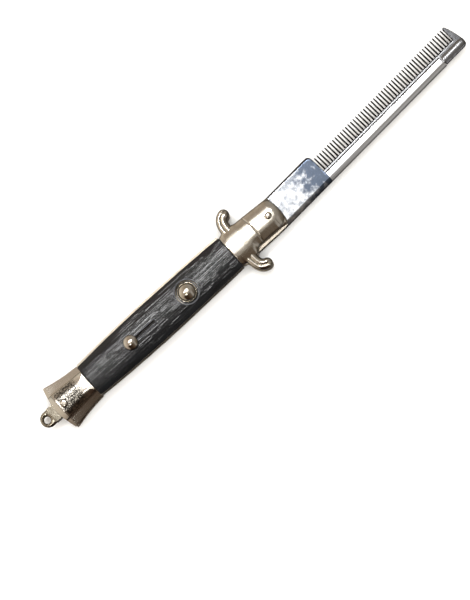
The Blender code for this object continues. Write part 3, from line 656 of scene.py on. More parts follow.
def pommel_rings(lip_height):
    """A pommel bolster: flat shoulders beside a raised band that opens out towards the scale."""
    x = np.concatenate([np.linspace(POMMEL_CORNER, POMMEL_CREST_END, 14, endpoint=False),
                        clustered(POMMEL_CREST_END, POMMEL_FRONT, 130, 0.2)])
    end = np.clip((POMMEL_CREST_END - x) / (POMMEL_CREST_END - POMMEL_CORNER), 0.0, 1.0)
    front = edge_round(POMMEL_FRONT - x, 0.3)
    half = np.where(x < POMMEL_CREST_END, pommel_half(POMMEL_CREST_END), pommel_half(x)) - front
    crest_half = eased(x, [-113.2, -101.4, -99.4, -97.2], [1.2, 0.9, 1.6, 3.9], 0.3)
    shoulder = eased(x, [-113.2, -109.2, -103.2, -97.2], [5.9, 5.8, 5.4, 5.2], 0.5)
    crest = CREST - 1.8 * end ** 0.9 - front
    wall = 3.5 - 0.3 * end - 0.3 * front
    shoulder_z = 4.3 - 0.7 * end
    bow = np.where(x < POMMEL_CREST_END, -POMMEL_BOW * end, 0.0)
    rings = cover_rings(x, half, half, wall, crest_half, crest, (shoulder, shoulder, shoulder_z), bow)
    rings = soften(rings, 2)
    lip = lip_height * np.exp(-((rings[..., 0] - POMMEL_CREST_END - 0.1) / 0.3) ** 2)
    rings[..., 2] += lip * np.clip((rings[..., 2] - 4.6) / 0.4, 0.0, 1.0)
    return rings


def head_rings(seam_depth):
    """A head bolster: guard flares, a relieved edge at -Y, an arched seam and a nose rounded about the pin.

    Towards the nose the fall of the flank is taken at the distance from the pin, not from the centre line.
    """
    x = clustered(HEAD_REAR, HEAD_FRONT, 210, 0.25)
    minus = eased(x, [-20.6, -19.4, -18.6, -13.2, -12.4, -11.5, -10.2, -4.0, 0.0, 3.5],
                  [7.2, 7.4, 7.9, 7.9, 7.4, 6.5, 6.05, 6.1, 6.25, 6.6], 0.25)
    plus = eased(x, [-20.6, -19.4, -18.6, -13.2, -12.4, -11.5, -8.2, -4.0, 0.0, 3.5],
                 [7.2, 7.5, 8.1, 7.9, 7.5, 7.4, 7.2, 6.95, 6.65, 6.35], 0.25)
    rear = edge_round(x - HEAD_REAR, 0.35)
    nose = edge_round(HEAD_FRONT - x, 0.6)
    crest = CREST - 0.8 * rear - 0.6 * nose
    wall = 4.0 - 0.4 * rear - 0.5 * nose
    bow = HEAD_BOW * np.clip((x - HEAD_FRONT + 6.0) / 6.0, 0.0, 1.0) ** 2
    rings = cover_rings(x, minus - rear - 0.8 * nose, plus - rear - 0.8 * nose, wall,
                        HEAD_CREST + 0.0 * x, crest, bow=bow)
    rings = soften(rings, 2)
    along, across, height = rings[..., 0], rings[..., 1], rings[..., 2]
    upper = np.clip((height - 3.6) / 0.5, 0.0, 1.0)
    here = np.clip((np.abs(across) - HEAD_CREST) / HEAD_FLANK, 0.0, 0.98)
    round_pin = np.hypot(1.2 * np.clip(along - 0.4, 0.0, None), across - PIVOT_Y * np.clip(along, 0.0, 1.0))
    there = np.clip((round_pin - HEAD_CREST) / HEAD_FLANK, 0.0, 0.98)
    fall = 2.5 * (np.sqrt(1.0 - here * here) - np.sqrt(1.0 - np.maximum(here, there) ** 2))
    seam = seam_depth * np.exp(-((along - SEAM_X - SEAM_ARCH * (1.0 - (across / 6.0) ** 2)) / SEAM_HALF) ** 2)
    lip = 0.4 * np.clip((along - 1.0) / 2.0, 0.0, 1.0) * np.clip((3.55 - height) / 0.15, 0.0, 1.0)
    rings[..., 2] = height - upper * (fall + seam)
    rings[..., 0] = along + lip
    return rings


def finger_rings(side, groove):
    """A guard finger: a cubic curve from the guard to a round tip, with two ridges and a groove.

    The section is flat below and 0.42 + 0.58 sqrt(1 - |s|^4.5) of its height above, less the groove.
    """
    corner = [np.array(p) for p in ((-16.1, 5.6), (-16.1, 9.5), (-15.9, 12.3), (-12.8, 13.1))]
    t = np.linspace(0.0, 1.0, 64)[:, None]
    s = 1.0 - t
    place = s ** 3 * corner[0] + 3 * s * s * t * corner[1] + 3 * s * t * t * corner[2] + t ** 3 * corner[3]
    legs = np.diff(corner, axis=0)
    along = unit(s * s * legs[0] + 2 * s * t * legs[1] + t * t * legs[2])
    half = FINGER_ROOT - (FINGER_ROOT - FINGER_TIP) * t[:, 0]
    top = 5.5 - 0.2 * t[:, 0]
    angle = np.linspace(0.0, 0.5 * math.pi, 16)[1:-1]
    tip = place[-1] + along[-1] * FINGER_TIP * np.sin(angle)[:, None]
    place = np.concatenate([place, tip])
    along = np.concatenate([along, np.repeat(along[-1:], len(angle), axis=0)])
    half = np.concatenate([half, FINGER_TIP * np.cos(angle)])
    top = np.concatenate([top, LINER_INNER + (top[-1] - LINER_INNER) * (0.35 + 0.65 * np.cos(angle))])
    foot = np.where(place[:, 1] < 7.3, COVER_BASE + 0.25, LINER_INNER)
    share = np.sin(np.linspace(-0.5 * math.pi, 0.5 * math.pi, 49))
    from_groove = (share - 0.12) / 0.22
    dip = groove * np.exp(-from_groove * from_groove * 2.2)
    dip = dip + 1.3 * groove * np.clip((-0.3 - share) / 0.7, 0.0, 1.0) ** 1.3
    height = 0.42 + 0.58 * np.sqrt(1.0 - np.abs(share) ** 4.5)
    tall = (top - foot)[:, None]
    fade = np.clip((half / FINGER_ROOT)[:, None] * 1.25 - 0.25, 0.0, 1.0)
    z = foot[:, None] + height * tall - dip * fade
    offset = share[None, :] * half[:, None]
    up = np.linspace(0.0, 1.0, 6, endpoint=False)
    left = np.stack([np.repeat(-half[:, None], 6, axis=1),
                     foot[:, None] + up * (z[:, :1] - foot[:, None])], axis=-1)
    right = np.stack([np.repeat(half[:, None], 6, axis=1),
                      foot[:, None] + up[::-1] * (z[:, -1:] - foot[:, None])], axis=-1)
    flat = np.linspace(1.0, -1.0, 8)[1:-1]
    under = np.stack([flat * half[:, None], foot[:, None] + 0.0 * flat], axis=-1)
    section = np.concatenate([left, np.stack([offset, z], axis=-1), right, under], axis=1)
    section[..., 1] = np.maximum(soften(section, 1)[..., 1], foot[:, None])
    across = np.stack([-along[:, 1], along[:, 0]], axis=-1)
    plan = place[:, None, :] + across[:, None, :] * section[..., :1]
    return np.stack([plan[..., 0], side * plan[..., 1], section[..., 1]], axis=-1)


def box_shell(low, high):
    """A plain box between two corners, as a closed shell to cut with."""
    x, y, z = ((low[k], high[k]) for k in range(3))
    ring = [(x[0], y[0]), (x[1], y[0]), (x[1], y[1]), (x[0], y[1])]
    return skin(np.array([[(a, b, level) for a, b in ring] for level in z], float))


def bore(radius, x, y, low=-9.0, high=9.0):
    """A round cutter along Z."""
    return lathe([(0.0, low), (radius, low), (radius, high), (0.0, high)], x, y, 64)


def slot_plan(rear, front, half, radius):
    """Plan of a slot with rounded corners, counter-clockwise."""
    points = []
    for cx, cy, start in ((front - radius, half - radius, 0.0), (rear + radius, half - radius, 0.5),
                          (rear + radius, radius - half, 1.0), (front - radius, radius - half, 1.5)):
        angles = math.pi * (start + np.linspace(0.0, 0.5, 7))
        points.append(np.stack([cx + radius * np.cos(angles), CONTROL_Y + cy + radius * np.sin(angles)], -1))
    return np.concatenate(points)


class CombSizes(bpy.types.PropertyGroup):
    """Depths of the relief on the handle."""
    bark_depth: bpy.props.FloatProperty(
        name="Bark depth", description="Height of the grain moulded into the scales", default=0.12 * MM,
        min=0.0, max=0.3 * MM, unit="LENGTH", precision=5)
    seam_depth: bpy.props.FloatProperty(
        name="Seam depth", description="Depth of the arched seam across the head bolsters", default=0.22 * MM,
        min=0.0, max=0.4 * MM, unit="LENGTH", precision=5)
    finger_groove: bpy.props.FloatProperty(
        name="Finger groove", description="Depth of the groove along each guard finger", default=0.55 * MM,
        min=0.0, max=0.8 * MM, unit="LENGTH", precision=5)
    lip_height: bpy.props.FloatProperty(
        name="Lip height", description="Height of the lip where the pommel's band ends", default=0.1 * MM,
        min=0.0, max=0.3 * MM, unit="LENGTH", precision=5)


class CombFinish(bpy.types.PropertyGroup):
    """Colours of the metals and the plastic, as sRGB hex values."""
    nickel: bpy.props.StringProperty(
        name="Nickel", description="Bright nickel plate", default="#D8D3C9")
    # Random dull clouds on the nickel, and the base of the tail ring's darker tones, which are painted shade
    nickel_clouds_and_ring_shade: bpy.props.StringProperty(
        name="Nickel, dull", description="Nickel plate where it has dulled", default="#BFB8A8")
    # Dark speckle tone of the pommel crest: rough grain, and painted shade that dims its reflection
    nickel_rough_and_shade: bpy.props.StringProperty(
        name="Nickel, rough", description="Nickel plate over the rough crest of the pommel",
        default="#3A3834")
    # Darker tone of the tail ring: painted shade for the dark reflections of its rounded section
    nickel_ring_shade: bpy.props.StringProperty(
        name="Nickel, ring shade", description="Nickel plate on the tail ring", default="#8A8478")
    steel: bpy.props.StringProperty(
        name="Steel", description="Polished sheet of the comb", default="#DEE0E2")
    # Dark tone of the sheet's cloudy patches, also used for the painted darker reflection at the front of the
    # ricasso
    steel_clouds_and_shade: bpy.props.StringProperty(
        name="Steel, dull", description="Sheet in cloudy patches and painted darker reflection", default="#4F5866")
    liner: bpy.props.StringProperty(
        name="Liner", description="Blanked strip of the liners", default="#989084")
    # Near-black steel of the teeth: painted dark reflection; it also paints the shadow lines of the seams and
    # of the tang's edge
    teeth: bpy.props.StringProperty(
        name="Teeth", description="Dark steel of the thin teeth", default="#222224")
    plate: bpy.props.StringProperty(
        name="Toothed plate", description="Grey steel of the plate that carries the teeth", default="#87888A")
    # Darker grey of the thick end tooth: painted darker reflection on the same steel as the plate
    plate_end_shade: bpy.props.StringProperty(
        name="End tooth", description="Darker grey steel of the thick end tooth", default="#5E5F61")
    plastic: bpy.props.StringProperty(
        name="Plastic", description="Black plastic of the scales", default="#0A0B0C")
    plastic_worn: bpy.props.StringProperty(
        name="Plastic, rubbed", description="Black plastic on the ridges", default="#1A1C1F")
    # Grey of the raised rims round the button and the slot: painted highlight
    plastic_rim_highlight: bpy.props.StringProperty(
        name="Plastic, edges", description="Black plastic painted grey on raised rims as a highlight", default="#46484C")
    floor: bpy.props.StringProperty(
        name="Floor", description="The pale floor", default="#F2F2F0")


class CombView(bpy.types.PropertyGroup):
    """Where the camera stands."""
    turn: bpy.props.FloatProperty(
        name="Turn", description="Angle of the handle above the picture's level",
        default=math.radians(42.3), subtype="ANGLE")
    tilt: bpy.props.FloatProperty(
        name="Tilt", description="Lean of the camera from straight above, to the closed side",
        default=math.radians(6.5), subtype="ANGLE")
    distance: bpy.props.FloatProperty(
        name="Distance", description="From the camera to the comb", default=0.9, unit="LENGTH")
    height: bpy.props.FloatProperty(
        name="Height", description="Height of the picture at the comb", default=0.2382, unit="LENGTH")


class COMB_OT_liners(bpy.types.Operator):
    """Give the liners, the spacer and the pommel block their steel"""
    bl_idname = "comb.liners"
    bl_label = "Liners and spacer"

    def execute(self, context):
        for name in ("front_liner", "back_liner", "back_spacer", "pommel_block"):
            node = frame["nodes"][name]
            for index in range(len(node.data.materials)):
                node.data.materials[index] = finish("liner_steel")
        return {"FINISHED"}


class COMB_OT_scales(bpy.types.Operator):
    """Mould the two scales, with the button's rim and the slot's border on the front one"""
    bl_idname = "comb.scales"
    bl_label = "Scales"

    def execute(self, context):
        rings = scale_rings(context.scene.comb_sizes.bark_depth / MM)
        front = gathered("front_scale_bark", [capped(rings)], in_handle)
        carve(front, bore(BUTTON_BORE, BUTTON_X, CONTROL_Y), in_handle)
        slot = slot_plan(SLOT_REAR, SLOT_FRONT, SLOT_HALF, 0.2)
        carve(front, skin(np.stack([at_height(slot, z) for z in (0.0, 9.0)])), in_handle)
        dress(front, finish("bark_abs"), "handle", ("front_scale",))
        back = gathered("back_scale_bark", [capped(mirrored(rings))], in_handle)
        dress(back, finish("bark_abs"), "handle", ("back_scale",))

        angle = np.linspace(0.0, math.pi, 12)
        top = SCALE_CREST + RAISED * np.sin(angle)
        inner, outer = BUTTON_BORE, RIM_RADIUS + RIM_HALF
        section = np.concatenate([np.stack([RIM_RADIUS + RIM_HALF * np.cos(angle), top], axis=-1),
                                  [(inner, 5.5), (inner, 4.2), (outer, 4.2), (outer, 5.5)]])
        # The rim and the slot's border take the grey ABS: painted highlight
        rim = gathered("button_rim", [hoop(section, BUTTON_X, CONTROL_Y)], in_handle)
        dress(rim, finish("rim_highlight_abs"), "handle")

        centre = slot_plan(SLOT_REAR - BORDER_HALF, SLOT_FRONT + BORDER_HALF, SLOT_HALF + BORDER_HALF, 0.35)
        step = unit(np.roll(centre, -1, axis=0) - np.roll(centre, 1, axis=0))
        outward = np.stack([step[:, 1], -step[:, 0]], axis=-1)
        width = np.concatenate([BORDER_HALF * np.cos(angle), [-BORDER_HALF, BORDER_HALF]])
        height = np.concatenate([top, [5.4, 5.4]])
        plan = centre[:, None, :] + outward[:, None, :] * width[None, :, None]
        rings = np.concatenate([plan, np.broadcast_to(height, plan.shape[:2])[..., None]], axis=-1)
        border = gathered("slot_border", [belt(rings)], in_handle)
        dress(border, finish("rim_highlight_abs"), "handle")

        # Dark floors under the button's hole and the slot, so that both read dark: painted shade
        shade_ring = hoop([(1.85, SHADE_FLOOR_LOW), (4.6, SHADE_FLOOR_LOW), (4.6, SHADE_FLOOR_TOP), (1.85, SHADE_FLOOR_TOP)],
                    BUTTON_X, CONTROL_Y)
        floor = slab(slot_plan(-76.0, -61.5, 0.7, 0.15), SHADE_FLOOR_LOW, SHADE_FLOOR_TOP, 0.03, 2, 0.02)
        shade_floors = gathered("control_shade_floors", [shade_ring, floor], in_handle)
        dress(shade_floors, finish("bark_abs"), "handle")
        return {"FINISHED"}


class COMB_OT_head_bolsters(bpy.types.Operator):
    """Cast the two head bolsters with their guard fingers"""
    bl_idname = "comb.head_bolsters"
    bl_label = "Head bolsters"

    def execute(self, context):
        sizes = context.scene.comb_sizes
        body = head_rings(sizes.seam_depth / MM)
        fingers = [finger_rings(way, sizes.finger_groove / MM) for way in (1.0, -1.0)]
        for face, turn in (("front", lambda rings: rings), ("back", mirrored)):
            piece = gathered(face + "_head_cast", [capped(turn(body))], in_handle)
            for rings in fingers:
                ends = (rings[0].mean(axis=0), rings[-1].mean(axis=0))
                shell = skin(turn(rings), [turn(end) for end in ends])
                carve(piece, shell, in_handle, "UNION")
            carve(piece, bore(HEAD_BORE, 0.0, PIVOT_Y), in_handle)
            dress(piece, finish("cast_nickel"), "handle", (face + "_head_bolster",))
        return {"FINISHED"}


class COMB_OT_pommel_bolsters(bpy.types.Operator):
    """Cast the two pommel bolsters"""
    bl_idname = "comb.pommel_bolsters"
    bl_label = "Pommel bolsters"

    def execute(self, context):
        lip_height = context.scene.comb_sizes.lip_height / MM
        for face, rings in (("front", pommel_rings(lip_height)), ("back", mirrored(pommel_rings(0.0)))):
            piece = gathered(face + "_pommel_cast", [capped(rings)], in_handle)
            carve(piece, bore(POMMEL_BORE, *POMMEL_PIN), in_handle)
            dress(piece, finish("rough_nickel"), "handle", (face + "_pommel_bolster",))
        return {"FINISHED"}


class COMB_OT_pins(bpy.types.Operator):
    """Turn the pivot pin and the pommel pin with their domed heads"""
    bl_idname = "comb.pins"
    bl_label = "Pins"

    def execute(self, context):
        way = np.linspace(1.0, 0.0, 18)[:-1]
        for name, radius, foot, top, power, x, y in (("pivot_pin", 1.5, 6.38, 6.95, 3.4, 0.0, PIVOT_Y),
                                                     ("pommel_pin", 1.65, 6.7, 7.3, 6.0, *POMMEL_PIN)):
            dome = [(radius * w, foot + (top - foot) * (1.0 - w ** power)) for w in way]
            profile = [(0.0, -6.45), (radius - 0.2, -6.45), (radius - 0.05, -6.38), (radius, -6.2)]
            profile += dome + [(0.0, top)]
            pin = gathered(name + "_turned", [lathe(profile, x, y)], in_handle)
            dress(pin, finish("turned_nickel"), "handle", (name,))
        return {"FINISHED"}


class COMB_OT_tail_ring(bpy.types.Operator):
    """Cast the tail ring: a rounded ringed plate and its thicker block"""
    bl_idname = "comb.tail_ring"
    bl_label = "Tail ring"

    def execute(self, context):
        angle = np.linspace(0.5 * math.pi, 1.5 * math.pi, 40)
        ring = np.stack([RING_X + RING_HALF * np.cos(angle), RING_HALF * np.sin(angle)], axis=-1)
        front = np.array([(-118.4, -RING_HALF), (-116.7, -RING_HALF),
                          (-116.7, RING_HALF), (-118.4, RING_HALF)])
        bail = gathered("bail_cast", [slab(np.concatenate([ring, front]), -1.3, 1.3, 0.9, 9)], in_handle)
        block = np.array([(-117.7, 3.4), (-117.7, 0.0), (-117.7, -3.4),
                          (-113.3, -3.4), (-113.3, 0.0), (-113.3, 3.4)])
        carve(bail, slab(block, -2.4, 2.4, 0.3), in_handle, "UNION")
        flare = np.linspace(-1.0, 1.0, 17)
        radius = 1.4 + 0.98 * (1.0 - np.sqrt(1.0 - 0.99 * np.abs(flare) ** 2.2))
        profile = [(0.0, -4.0), (2.3, -4.0)] + list(zip(radius, 1.32 * flare)) + [(2.3, 4.0), (0.0, 4.0)]
        carve(bail, lathe(profile, EYE_X, 0.0, 56), in_handle)
        dress(bail, finish("ring_shaded_nickel"), "handle", ("bail",))
        return {"FINISHED"}


class COMB_OT_controls(bpy.types.Operator):
    """Turn the firing button and the safety knob"""
    bl_idname = "comb.controls"
    bl_label = "Button and safety"

    def execute(self, context):
        angle = np.linspace(0.0, 0.5 * math.pi, 32)
        dome = [(3.62 * math.cos(a), 5.45 + 2.05 * math.sin(a)) for a in angle[:-1]]
        profile = [(0.0, 3.15), (1.5, 3.15), (1.5, 4.0), (3.85, 4.0), (3.95, 4.1), (3.95, 5.2), (3.93, 5.28),
                   (3.87, 5.34), (3.79, 5.33), (3.72, 5.28), (3.66, 5.2)] + dome + [(0.0, 7.5)]
        button = gathered("firing_button_turned", [lathe(profile, BUTTON_X, CONTROL_Y, 96)], in_handle)
        dress(button, finish("turned_nickel"), "button", ("firing_button",))

        foot = 6.8
        dome = [(3.05 * math.cos(a), foot + 0.6 + 1.8 * math.sin(a)) for a in angle[:-1]]
        profile = [(0.0, foot), (2.5, foot), (2.8, foot + 0.12), (2.98, foot + 0.35)] + dome
        profile.append((0.0, foot + 2.4))
        knob = gathered("safety_knob_turned", [lathe(profile, SAFETY_X, CONTROL_Y, 96)], in_handle)
        stem = box_shell((SAFETY_X - 1.5, CONTROL_Y - 0.45, COVER_BASE + 0.05),
                         (SAFETY_X + 1.5, CONTROL_Y + 0.45, foot + 1.0))
        carve(knob, stem, in_handle, "UNION")
        dress(knob, finish("turned_nickel"), "safety", ("safety_knob",))
        return {"FINISHED"}


def sleeve_plan(spine_inset, edge_inset):
    """Plan of the folded sheet at one height, counter-clockwise: spine, end, step and ricasso."""
    top = SHEET_TOP - edge_inset
    bottom = spine_inset + SPINE
    angle = np.linspace(0.5 * math.pi, 1.5 * math.pi, 33)
    rise = np.where(angle < math.pi, top - TANG_MIDDLE, TANG_MIDDLE - bottom)
    tang = np.stack([(6.6 - edge_inset) * np.cos(angle), TANG_MIDDLE + rise * np.sin(angle)], axis=-1)
    end = SHEET_END - edge_inset
    step = SHEET_STEP - edge_inset
    turn = np.linspace(0.0, 0.5 * math.pi, 7)
    corner = np.stack([end - 0.8 * (1.0 - np.cos(turn)), step - 0.8 * (1.0 - np.sin(turn))], axis=-1)
    edge = RICASSO_END - edge_inset
    shoulder = np.stack([edge - 2.0 * (1.0 - np.cos(turn)), top - 2.0 * (1.0 - np.sin(turn))], axis=-1)
    return np.concatenate([tang, [(end, bottom)], corner, [(edge, step)], shoulder])


class COMB_OT_sleeve(bpy.types.Operator):
    """Fold the polished sheet over the spine, wide at the pivot and narrow along the teeth"""
    bl_idname = "comb.sleeve"
    bl_label = "Folded sheet"

    def execute(self, context):
        height = 1.6 * np.sin(np.linspace(-0.5 * math.pi, 0.5 * math.pi, 37))
        spine = 2.1 * (1.0 - np.sqrt(np.clip(1.0 - (height / 1.6) ** 2, 0.0, 1.0)))
        lift = np.clip((np.abs(height) - 1.35) / 0.25, 0.0, 1.0)
        edge = 0.5 * (1.0 - np.sqrt(1.0 - lift * lift))
        levels = [(2.16, 0.56, -1.6)] + list(zip(spine, edge, height)) + [(2.16, 0.56, 1.6)]
        rings = [at_height(sleeve_plan(spine_inset, edge_inset), level)
                 for spine_inset, edge_inset, level in levels]
        sleeve = gathered("comb_sleeve_folded", [skin(np.stack(rings))], in_comb)
        carve(sleeve, box_shell((-9.0, -7.0, -1.15), (96.0, 9.0, 1.15)), in_comb)
        carve(sleeve, bore(COMB_BORE, 0.0, 0.0), in_comb)
        dress(sleeve, finish("sheet_steel"), "comb", ("comb_sleeve",), 30.0)
        return {"FINISHED"}


def tooth_shells():
    """The thin teeth: rings along each tooth, narrowing in width and thickness to a rounded point."""
    v = np.array([TOOTH_ROOT, -2.45, -2.1, 0.6, 3.1, 3.6, 3.85])
    half_width = np.array([0.4, 0.38, 0.35, 0.34, 0.33, 0.27, 0.15])
    half_depth = np.array([0.84, 0.8, 0.76, 0.6, 0.47, 0.36, 0.22])
    angle = full_turn(10) + 0.3
    wide = np.cos(angle)
    deep = np.sin(angle)
    shells = []
    for centre in FIRST_TOOTH + TOOTH_PITCH * np.arange(TOOTH_COUNT):
        rings = np.stack([centre + half_width[:, None] * wide, v[:, None] + 0.0 * angle,
                          half_depth[:, None] * deep], axis=-1)
        shells.append(skin(rings, [(centre, TOOTH_ROOT, 0.0), (centre, TOOTH_TIP, 0.0)]))
    return shells


class COMB_OT_teeth(bpy.types.Operator):
    """Stamp the toothed plate, its thick end tooth and the ridge beyond the sheet"""
    bl_idname = "comb.teeth"
    bl_label = "Teeth"

    def execute(self, context):
        round_end = np.linspace(0.5 * math.pi, 1.33 * math.pi, 22)
        rise = np.where(round_end < math.pi, PLATE_TOP - TANG_MIDDLE, TANG_MIDDLE - SPINE - 0.6)
        round_end = np.stack([6.3 * np.cos(round_end), TANG_MIDDLE + rise * np.sin(round_end)], axis=-1)
        corner = np.linspace(0.0, 0.5 * math.pi, 7)
        corner = np.stack([26.5 + 2.0 * np.cos(corner), 4.25 + 2.0 * np.sin(corner)], axis=-1)
        tang = slab(np.concatenate([round_end, [(-2.6, -6.7), (28.5, -6.7)], corner]), -0.86, 0.86, 0.15)
        end = smooth_curve([(103.6, -7.8), (104.5, -7.5), (105.1, -6.7), (105.35, -5.4), (105.05, -2.9),
                            (104.35, 0.4), (103.65, 2.9), (103.3, 3.55), (102.8, 3.8), (102.35, 3.6),
                            (102.2, 3.1), (102.2, 1.5)])
        block = np.concatenate([[(93.5, -3.0), (93.5, -7.8)], end, [(102.2, -3.0)]])
        plate = slab(np.array([(28.0, -6.7), (102.4, -6.7), (102.4, -2.5), (28.0, -2.5)]), -0.83, 0.83, 0.3)
        u = np.concatenate([[93.55, 93.65, 93.85], np.linspace(94.2, 103.2, 12),
                            104.0 + 1.25 * np.sin(np.linspace(0.0, 1.45, 12))])
        share = np.concatenate([[0.9, 0.96, 1.0], np.ones(12),
                                0.45 + 0.5 * np.cos(np.linspace(0.0, 1.45, 12))])
        angle = full_turn(40)
        ridge = np.stack([u[:, None] + 0.0 * angle, RIDGE_LINE + 2.15 * share[:, None] * np.cos(angle),
                          1.35 * share[:, None] * np.sin(angle)], axis=-1)
        ridge = skin(ridge, [(u[0], RIDGE_LINE, 0.0), (u[-1], RIDGE_LINE, 0.0)])
        strip = gathered("comb_plate_stamped", [plate, ridge], in_comb)
        dress(strip, finish("plate_steel"), "comb", ("comb_teeth",))
        tooth = gathered("comb_end_tooth", [slab(block, -0.85, 0.85, 0.3)], in_comb)
        dress(tooth, finish("end_tooth_shaded_steel"), "comb")
        # Two thin dark strips, along the sheet's edge and along the teeth's roots: painted shadow lines
        painted_shadow_lines = [slab(np.array([(28.6, low), (end_u, low), (end_u, high), (28.6, high)]), 0.5, 0.94, 0.04, 2)
                 for low, high, end_u in ((-4.2, -3.38, 93.0), (-2.76, -2.4, 102.0))]
        # The teeth, the seam lines and the tang share the near-black steel: painted dark reflection on the
        # teeth, painted shadow along the seams and the tang's edge beyond the sheet
        teeth = gathered("comb_teeth_stamped", tooth_shells() + painted_shadow_lines + [tang], in_comb)
        dress(teeth, finish("tooth_steel"), "comb", (), 60.0)
        return {"FINISHED"}


def set_axes(thing, right, up, back, place):
    """Put an object at a place in metres with its X, Y and Z axes along three unit vectors."""
    axes = np.eye(4)
    axes[:3] = np.column_stack([right, up, back, place])
    thing.matrix_world = Matrix(axes.tolist())


def softbox(name, place, width, length, power, colour):
    """An area light at a place in metres, facing the middle of the comb."""
    light = bpy.data.lights.new(name, "AREA")
    light.shape = "RECTANGLE"
    light.size = width
    light.size_y = length
    light.energy = power
    light.color = linear(colour)[:3]
    lamp = linked(name, light)
    back = unit(np.array(place))
    side = unit(np.cross((0.0, 1.0, 0.0), back))
    set_axes(lamp, side, np.cross(back, side), back, place)
    return lamp


def side_card():
    """A curved brown card beside the comb, seen only in reflections, paler along the comb.

    It is part of a cylinder along X; its glow falls off towards the floor.
    """
    angle = np.radians(np.linspace(-50.0, 79.0, 24))
    x = np.linspace(-0.42, 0.2, 12)
    grid = np.stack(np.broadcast_arrays(x[:, None], -0.35 * np.cos(angle), 0.35 * np.sin(angle)), axis=-1)
    rows, columns = grid.shape[:2]
    corner = (np.arange(rows - 1)[:, None] * columns + np.arange(columns - 1)).ravel()
    faces = np.stack([corner, corner + 1, corner + columns + 1, corner + columns], axis=-1)
    mesh = bpy.data.meshes.new("side_card")
    mesh.from_pydata(grid.reshape(-1, 3).tolist(), [], faces.tolist())
    card = linked("side_card", mesh)
    material, tree, place = empty_material("side_card")
    axes = add(tree, "ShaderNodeSeparateXYZ", {"Vector": place})
    share = add(tree, "ShaderNodeMapRange", {"Value": axes.outputs["X"], "From Min": -200.0,
                                             "From Max": 200.0})
    tone = add(tree, "ShaderNodeValToRGB", {"Fac": share},
               ((0.1, "#3A2A20"), (0.5, "#6A5C4E"), (0.62, "#7A726C"), (0.78, "#B8B4B0"), (1.0, "#AAA49E")))
    fall = add(tree, "ShaderNodeMapRange", {"Value": axes.outputs["Z"], "From Min": -60.0, "From Max": 150.0,
                                            "To Min": 0.3, "To Max": 1.0})
    glow = add(tree, "ShaderNodeEmission", {"Color": tone, "Strength": fall})
    add(tree, "ShaderNodeOutputMaterial", {"Surface": glow})
    mesh.materials.append(material)
    for ray in ("camera", "diffuse", "transmission", "volume_scatter", "shadow"):
        setattr(card, "visible_" + ray, False)


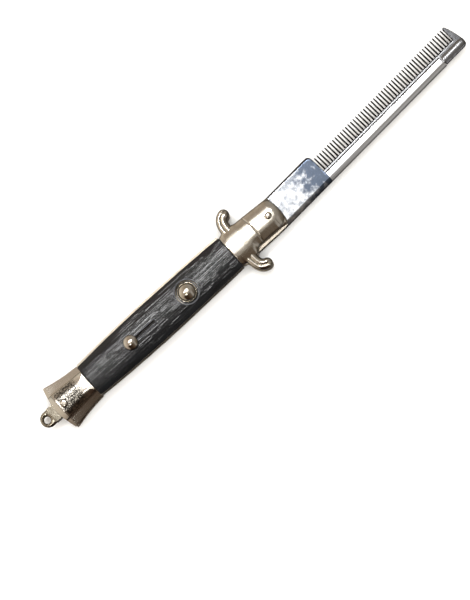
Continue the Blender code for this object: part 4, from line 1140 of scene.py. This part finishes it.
class COMB_OT_stage(bpy.types.Operator):
    """Lay the pale floor, hang the soft lights and place the camera"""
    bl_idname = "comb.stage"
    bl_label = "Stage"

    def execute(self, context):
        scene = context.scene
        view = scene.comb_view
        mesh = bpy.data.meshes.new("floor")
        mesh.from_pydata([(-4, -4, 0), (4, -4, 0), (4, 4, 0), (-4, 4, 0)], [], [(0, 1, 2, 3)])
        floor = linked("floor", mesh)
        material, tree, _ = empty_material("pale_floor")
        shader = add(tree, "ShaderNodeBsdfPrincipled", {"Base Color": linear(scene.comb_finish.floor),
                                                        "Roughness": 0.9})
        add(tree, "ShaderNodeOutputMaterial", {"Surface": shader})
        mesh.materials.append(material)

        world = bpy.data.worlds.new("studio")
        scene.world = world
        world.use_nodes = True
        tree = world.node_tree
        tree.nodes.clear()
        coordinates = add(tree, "ShaderNodeTexCoord")
        axes = add(tree, "ShaderNodeSeparateXYZ", {"Vector": coordinates.outputs["Generated"]})
        rearward = add(tree, "ShaderNodeMath", {0: axes.outputs["X"], 1: -0.6}, operation="MULTIPLY")
        side = add(tree, "ShaderNodeMath", {0: axes.outputs["Y"], 1: 0.5, 2: rearward},
                   operation="MULTIPLY_ADD")
        share = add(tree, "ShaderNodeMapRange", {"Value": side, "From Min": -0.8, "From Max": 0.8})
        tone = add(tree, "ShaderNodeValToRGB", {"Fac": share},
                   ((0.0, "#6A6258"), (0.14, "#7C746B"), (0.3, "#A8A29C"), (0.42, "#AAA49E"),
                    (0.58, "#A89E92"), (0.72, "#B4A596"), (0.9, "#E6DACA"), (1.0, "#F0E8DC")))
        rise = add(tree, "ShaderNodeMapRange", {"Value": axes.outputs["Z"], "From Min": -0.4, "From Max": 0.1,
                                                "To Min": 0.3, "To Max": 1.0})
        sky = add(tree, "ShaderNodeBackground", {"Color": tone, "Strength": rise})
        add(tree, "ShaderNodeOutputWorld", {"Surface": sky})

        softbox("main_box", (0.065, 0.3, 1.1), 0.55, 0.52, 1.2, "#FFFFFF")
        softbox("strip_box", (0.075, 0.29, 1.09), 0.44, 0.07, 4.0, "#FFFFFF")
        softbox("left_box", (-0.36, 0.32, 1.1), 0.12, 0.12, 0.5, "#FFFCF6")
        softbox("low_box", (-0.31, -0.16, 1.1), 0.12, 0.12, 0.5, "#FFFCF6")
        wash = softbox("floor_wash", (0.2, -0.3, 2.6), 2.4, 2.4, 88.0, "#FFFFFF")
        wash.visible_glossy = False
        floor.visible_glossy = False
        side_card()
        scene.view_settings.view_transform = "Standard"

        lean = np.array((0.0, math.cos(view.tilt), math.sin(view.tilt)))
        right = np.array((math.cos(view.turn), 0.0, 0.0)) - math.sin(view.turn) * lean
        up = np.array((math.sin(view.turn), 0.0, 0.0)) + math.cos(view.turn) * lean
        back = np.array((0.0, -math.sin(view.tilt), math.cos(view.tilt)))
        pin = (HANDLE_ORIGIN + (0.0, PIVOT_Y, 6.95)) * MM
        target = pin - 0.01306 * right - 0.0336 * up
        camera = bpy.data.cameras.new("camera")
        camera.sensor_fit = "VERTICAL"
        camera.sensor_height = SENSOR_HEIGHT
        camera.sensor_width = 28.2
        camera.lens = SENSOR_HEIGHT * view.distance / view.height
        camera.clip_start = 0.01
        scene.camera = linked("camera", camera)
        set_axes(scene.camera, right, up, back, target + back * view.distance)
        return {"FINISHED"}


class COMB_PT_panel(bpy.types.Panel):
    """Sizes, colours and pieces of the comb"""
    bl_idname = "COMB_PT_panel"
    bl_label = "Folding comb"
    bl_space_type = "VIEW_3D"
    bl_region_type = "UI"
    bl_category = "Comb"

    def draw(self, context):
        layout = self.layout
        for group in (context.scene.comb_sizes, context.scene.comb_finish, context.scene.comb_view):
            box = layout.box()
            for key in group.__annotations__:
                box.prop(group, key)
        for piece in PIECES:
            layout.operator(piece.bl_idname)


PIECES = (COMB_OT_liners, COMB_OT_scales, COMB_OT_head_bolsters, COMB_OT_pommel_bolsters, COMB_OT_pins,
          COMB_OT_tail_ring, COMB_OT_controls, COMB_OT_sleeve, COMB_OT_teeth, COMB_OT_stage)
GROUPS = (CombSizes, CombFinish, CombView)


def register():
    """Register the panel, its settings and one operator for each group of pieces."""
    for part in GROUPS + PIECES + (COMB_PT_panel,):
        bpy.utils.register_class(part)
    bpy.types.Scene.comb_sizes = bpy.props.PointerProperty(type=CombSizes)
    bpy.types.Scene.comb_finish = bpy.props.PointerProperty(type=CombFinish)
    bpy.types.Scene.comb_view = bpy.props.PointerProperty(type=CombView)


def unregister():
    """Remove everything that register added."""
    del bpy.types.Scene.comb_view
    del bpy.types.Scene.comb_finish
    del bpy.types.Scene.comb_sizes
    for part in reversed(GROUPS + PIECES + (COMB_PT_panel,)):
        bpy.utils.unregister_class(part)


def main():
    """Build every piece and the stage."""
    register()
    bpy.ops.comb.liners()
    bpy.ops.comb.scales()
    bpy.ops.comb.head_bolsters()
    bpy.ops.comb.pommel_bolsters()
    bpy.ops.comb.pins()
    bpy.ops.comb.tail_ring()
    bpy.ops.comb.controls()
    bpy.ops.comb.sleeve()
    bpy.ops.comb.teeth()
    bpy.ops.comb.stage()


if __name__ == "__main__":
    main()
